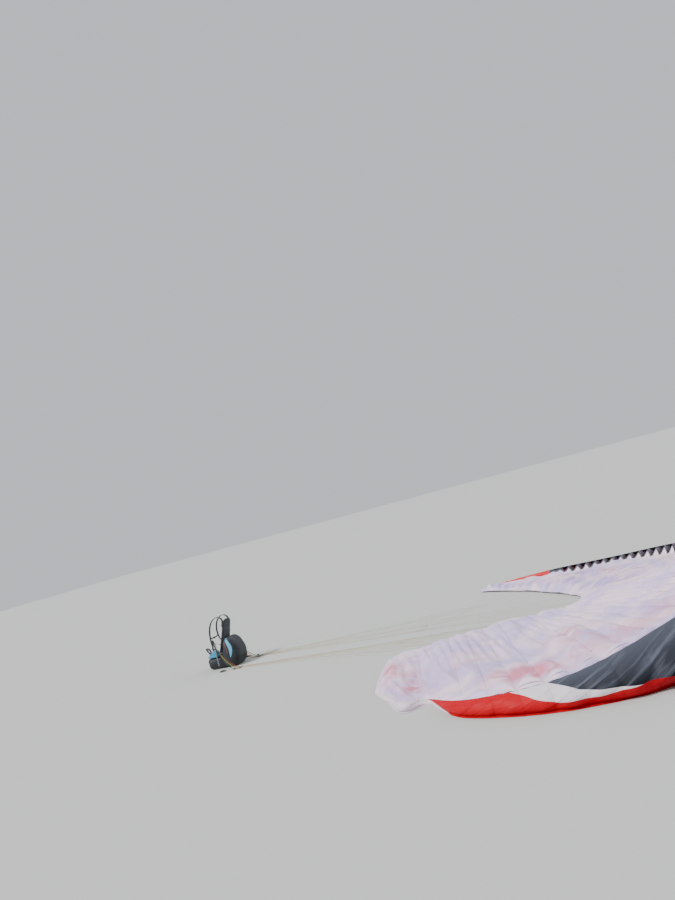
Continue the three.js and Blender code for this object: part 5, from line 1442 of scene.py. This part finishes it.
# Columns: y, z.
HIP_OUTLINE = np.array([[0.020, 0.2153], [0.240, 0.2153], [0.225, 0.262], [0.130, 0.312], [0.118, 0.345],
                        [-0.050, 0.345], [-0.032, 0.270]])
HIP_MIDDLE = np.array([0.09, 0.275])
HIP_X, HIP_THICKNESS = 0.182, 0.0095
for name, side in SIDES:
    outline = evenly(HIP_OUTLINE, 70)
    outline = (outline + np.roll(outline, 1, 0) + np.roll(outline, -1, 0)) / 3
    outline = (outline - HIP_MIDDLE) * 0.965
    centre = HARNESS + [side * HIP_X, *HIP_MIDDLE]
    start = pillow(centre, (0, 1, 0), (0, 0, 1), outline, HIP_THICKNESS)
    points, faces = filled(start[0], start[1], 0.004, 4.0, 0.0015)
    hip = mesh_piece(f"hip_cushion_{name}", points, faces, "root", material=blue_fabric)
    finer(hip)
    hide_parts(f"hip_panel_{name}")

# Straps of the harness
# The shoulder straps are foam in black nylon with a sewn edge. Leg straps, chest strap and hang loops
# are plain webbing, doubled and sewn where they bear the load, with moulded buckles.
# Columns of both tables: x, y, z, and the direction of the width.
SHOULDER_TABLE = [
    [0.095, -0.178, 0.700, 1, 0, 0],
    [0.095, -0.1687, 0.7401, 1, 0, 0], [0.096, -0.197, 0.815, 1, 0, 0], [0.097, -0.184, 0.868, 1, 0, 0],
    [0.098, -0.130, 0.904, 1, 0, 0], [0.100, -0.040, 0.900, 1, 0, 0], [0.104, 0.060, 0.820, 1, 0, 0],
    [0.112, 0.118, 0.690, 1, 0, 0], [0.128, 0.128, 0.560, 1, 0, 0], [0.152, 0.106, 0.450, 1, 0.3, 0],
    [0.180, 0.074, 0.385, 0.2, 1, 0], [0.182, 0.066, 0.365, 0, 1, 0], [0.182, 0.066, 0.330, 0, 1, 0],
]
LEG_TABLE = [
    [0.070, 0.262, 0.2456, 1, 0, 0], [0.070, 0.262, 0.275, 1, 0, 0], [0.078, 0.292, 0.330, 1, 0, 0],
    [0.100, 0.290, 0.376, 1, 0.3, 0], [0.140, 0.240, 0.396, 1, 1, 0], [0.170, 0.180, 0.376, 0.3, 1, 0],
    [0.182, 0.150, 0.345, 0, 1, 0], [0.182, 0.150, 0.288, 0, 1, 0],
]
blue_webbing = webbing("nylon_webbing_blue", "#3fa6cf", "#1c5d7d")


def buckle(centre, along, across, length, width, thickness):
    """A moulded buckle: a rounded block that narrows at its ends, with a raised rim in its middle."""
    along = np.asarray(along, dtype=float)
    reach = np.linspace(-1, 1, 21)
    plump = (1.0001 - np.abs(reach) ** 6) ** (1 / 4)
    rim = 1 + 0.18 * np.exp(-((np.abs(reach) - 0.45) / 0.1) ** 2)
    path = centre + np.outer(reach * length / 2, along)
    return sweep(path, oval(width, thickness, 5, 20), across, size=np.stack([plump, plump * rim], axis=1))


# How the shoulder pad narrows and thins out toward its webbing: steps along it, and the share there.
PAD_STEPS = 110
PAD_WIDTH = ([0, 60, 90, 109], [1, 1, 0.62, 0.5])
PAD_THICKNESS = ([0, 4, 70, 90, 109], [0.6, 1, 0.9, 0.45, 0.35])
# The two ends of a hang loop below the carabiner. Columns: x towards the middle, y, z.
HANG_FRONT = [[0.0125, 0.0016, -0.150], [0.0125, 0.0016, -0.075], [0.004, 0.002, -0.050], [0, 0.0030, -0.030]]
HANG_BACK = [[0, -0.0030, -0.030], [0.004, -0.002, -0.050], [0.0095, -0.0016, -0.075],
             [0.0095, -0.0016, -0.140]]
for name, side in SIDES:
    path, width = mirrored(SHOULDER_TABLE, side)
    path, width = smooth_path(path, PAD_STEPS), smooth_path(width, PAD_STEPS)
    taper, thin = (np.interp(np.arange(PAD_STEPS), *shares) for shares in (PAD_WIDTH, PAD_THICKNESS))
    points, faces, flat = sweep(path, oval(0.046, 0.011, 5, 24), width, size=np.stack([taper, thin], axis=1))
    shoulder = mesh_piece(f"shoulder_pad_{name}", points, faces, "root", uv=flat, material=black_fabric)
    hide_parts(f"shoulder_strap_{name}")
    ahead = np.gradient(path, axis=0)
    ahead /= np.linalg.norm(ahead, axis=1)[:, None]
    out = np.cross(ahead, width / np.linalg.norm(width, axis=1)[:, None])
    out *= np.sign((out @ [0, 1, 0.3]))[:, None]
    ribbon = (path + out * 0.0062 * thin[:, None])[4:84]
    points, faces, flat = sweep(ribbon, oval(0.018, 0.0016, 5, 12), width[4:84])
    lace = mesh_piece(f"shoulder_webbing_{name}", points, faces, "root", uv=flat, material=blue_webbing)

    path, width = mirrored(LEG_TABLE, side)
    points, faces, flat = sweep(smooth_path(path, 60), oval(0.036, 0.0045, 6, 20), smooth_path(width, 60))
    leg = mesh_piece(f"leg_webbing_{name}", points, faces, "root", uv=flat, material=riser_webbing["c"])
    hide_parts(f"leg_strap_{name}")
    centre = HARNESS + [side * 0.120, 0.268, 0.389]
    points, faces, _ = buckle(centre, (side * 0.75, -0.55, 0.36), (side * 0.6, 0.8, 0), 0.042, 0.042, 0.011)
    clip = mesh_piece(f"leg_buckle_{name}", points, faces, "root", material=moulded_plastic)

    turn = np.linspace(-0.12 * np.pi, 1.12 * np.pi, 17)
    loop = 0.0074 * np.stack([0 * turn, np.cos(turn), np.sin(turn)], axis=1)
    loop = np.vstack([HANG_FRONT, loop, HANG_BACK]) * [-side, 1, 1]
    points, faces, flat = sweep(HARNESS + [side * 0.203, RING_Y, RING_LOW] + loop,
                                oval(0.020, 0.0024, 6, 16), (1, 0, 0))
    hang = mesh_piece(f"hang_webbing_{name}", points, faces, "root", uv=flat, material=blue_webbing)
    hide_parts(f"hang_loop_{name}")

CHEST_HALF, CHEST_SAG = 0.103, 0.010
CHEST_Y, CHEST_Z = 0.128, 0.560
reach = np.linspace(-CHEST_HALF, CHEST_HALF, 40)
sag = -CHEST_SAG * (1 - (reach / CHEST_HALF) ** 2)
belt = HARNESS + np.stack([reach, CHEST_Y + 0 * reach, CHEST_Z + sag], axis=1)
points, faces, flat = sweep(belt, oval(0.024, 0.0034, 6, 16), (0, 0, 1))
strap = mesh_piece("chest_webbing", points, faces, "root", uv=flat, material=riser_webbing["c"])
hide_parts("chest_strap")
halves = [buckle(HARNESS + [x, CHEST_Y + 0.001, CHEST_Z - CHEST_SAG], (1, 0, 0), (0, 0, 1), *size)
          for x, size in ((-0.010, (0.030, 0.033, 0.012)), (0.014, (0.022, 0.028, 0.010)))]
points, faces, _ = joined(halves)
clip = mesh_piece("chest_buckle", points, faces, "root", material=moulded_plastic)
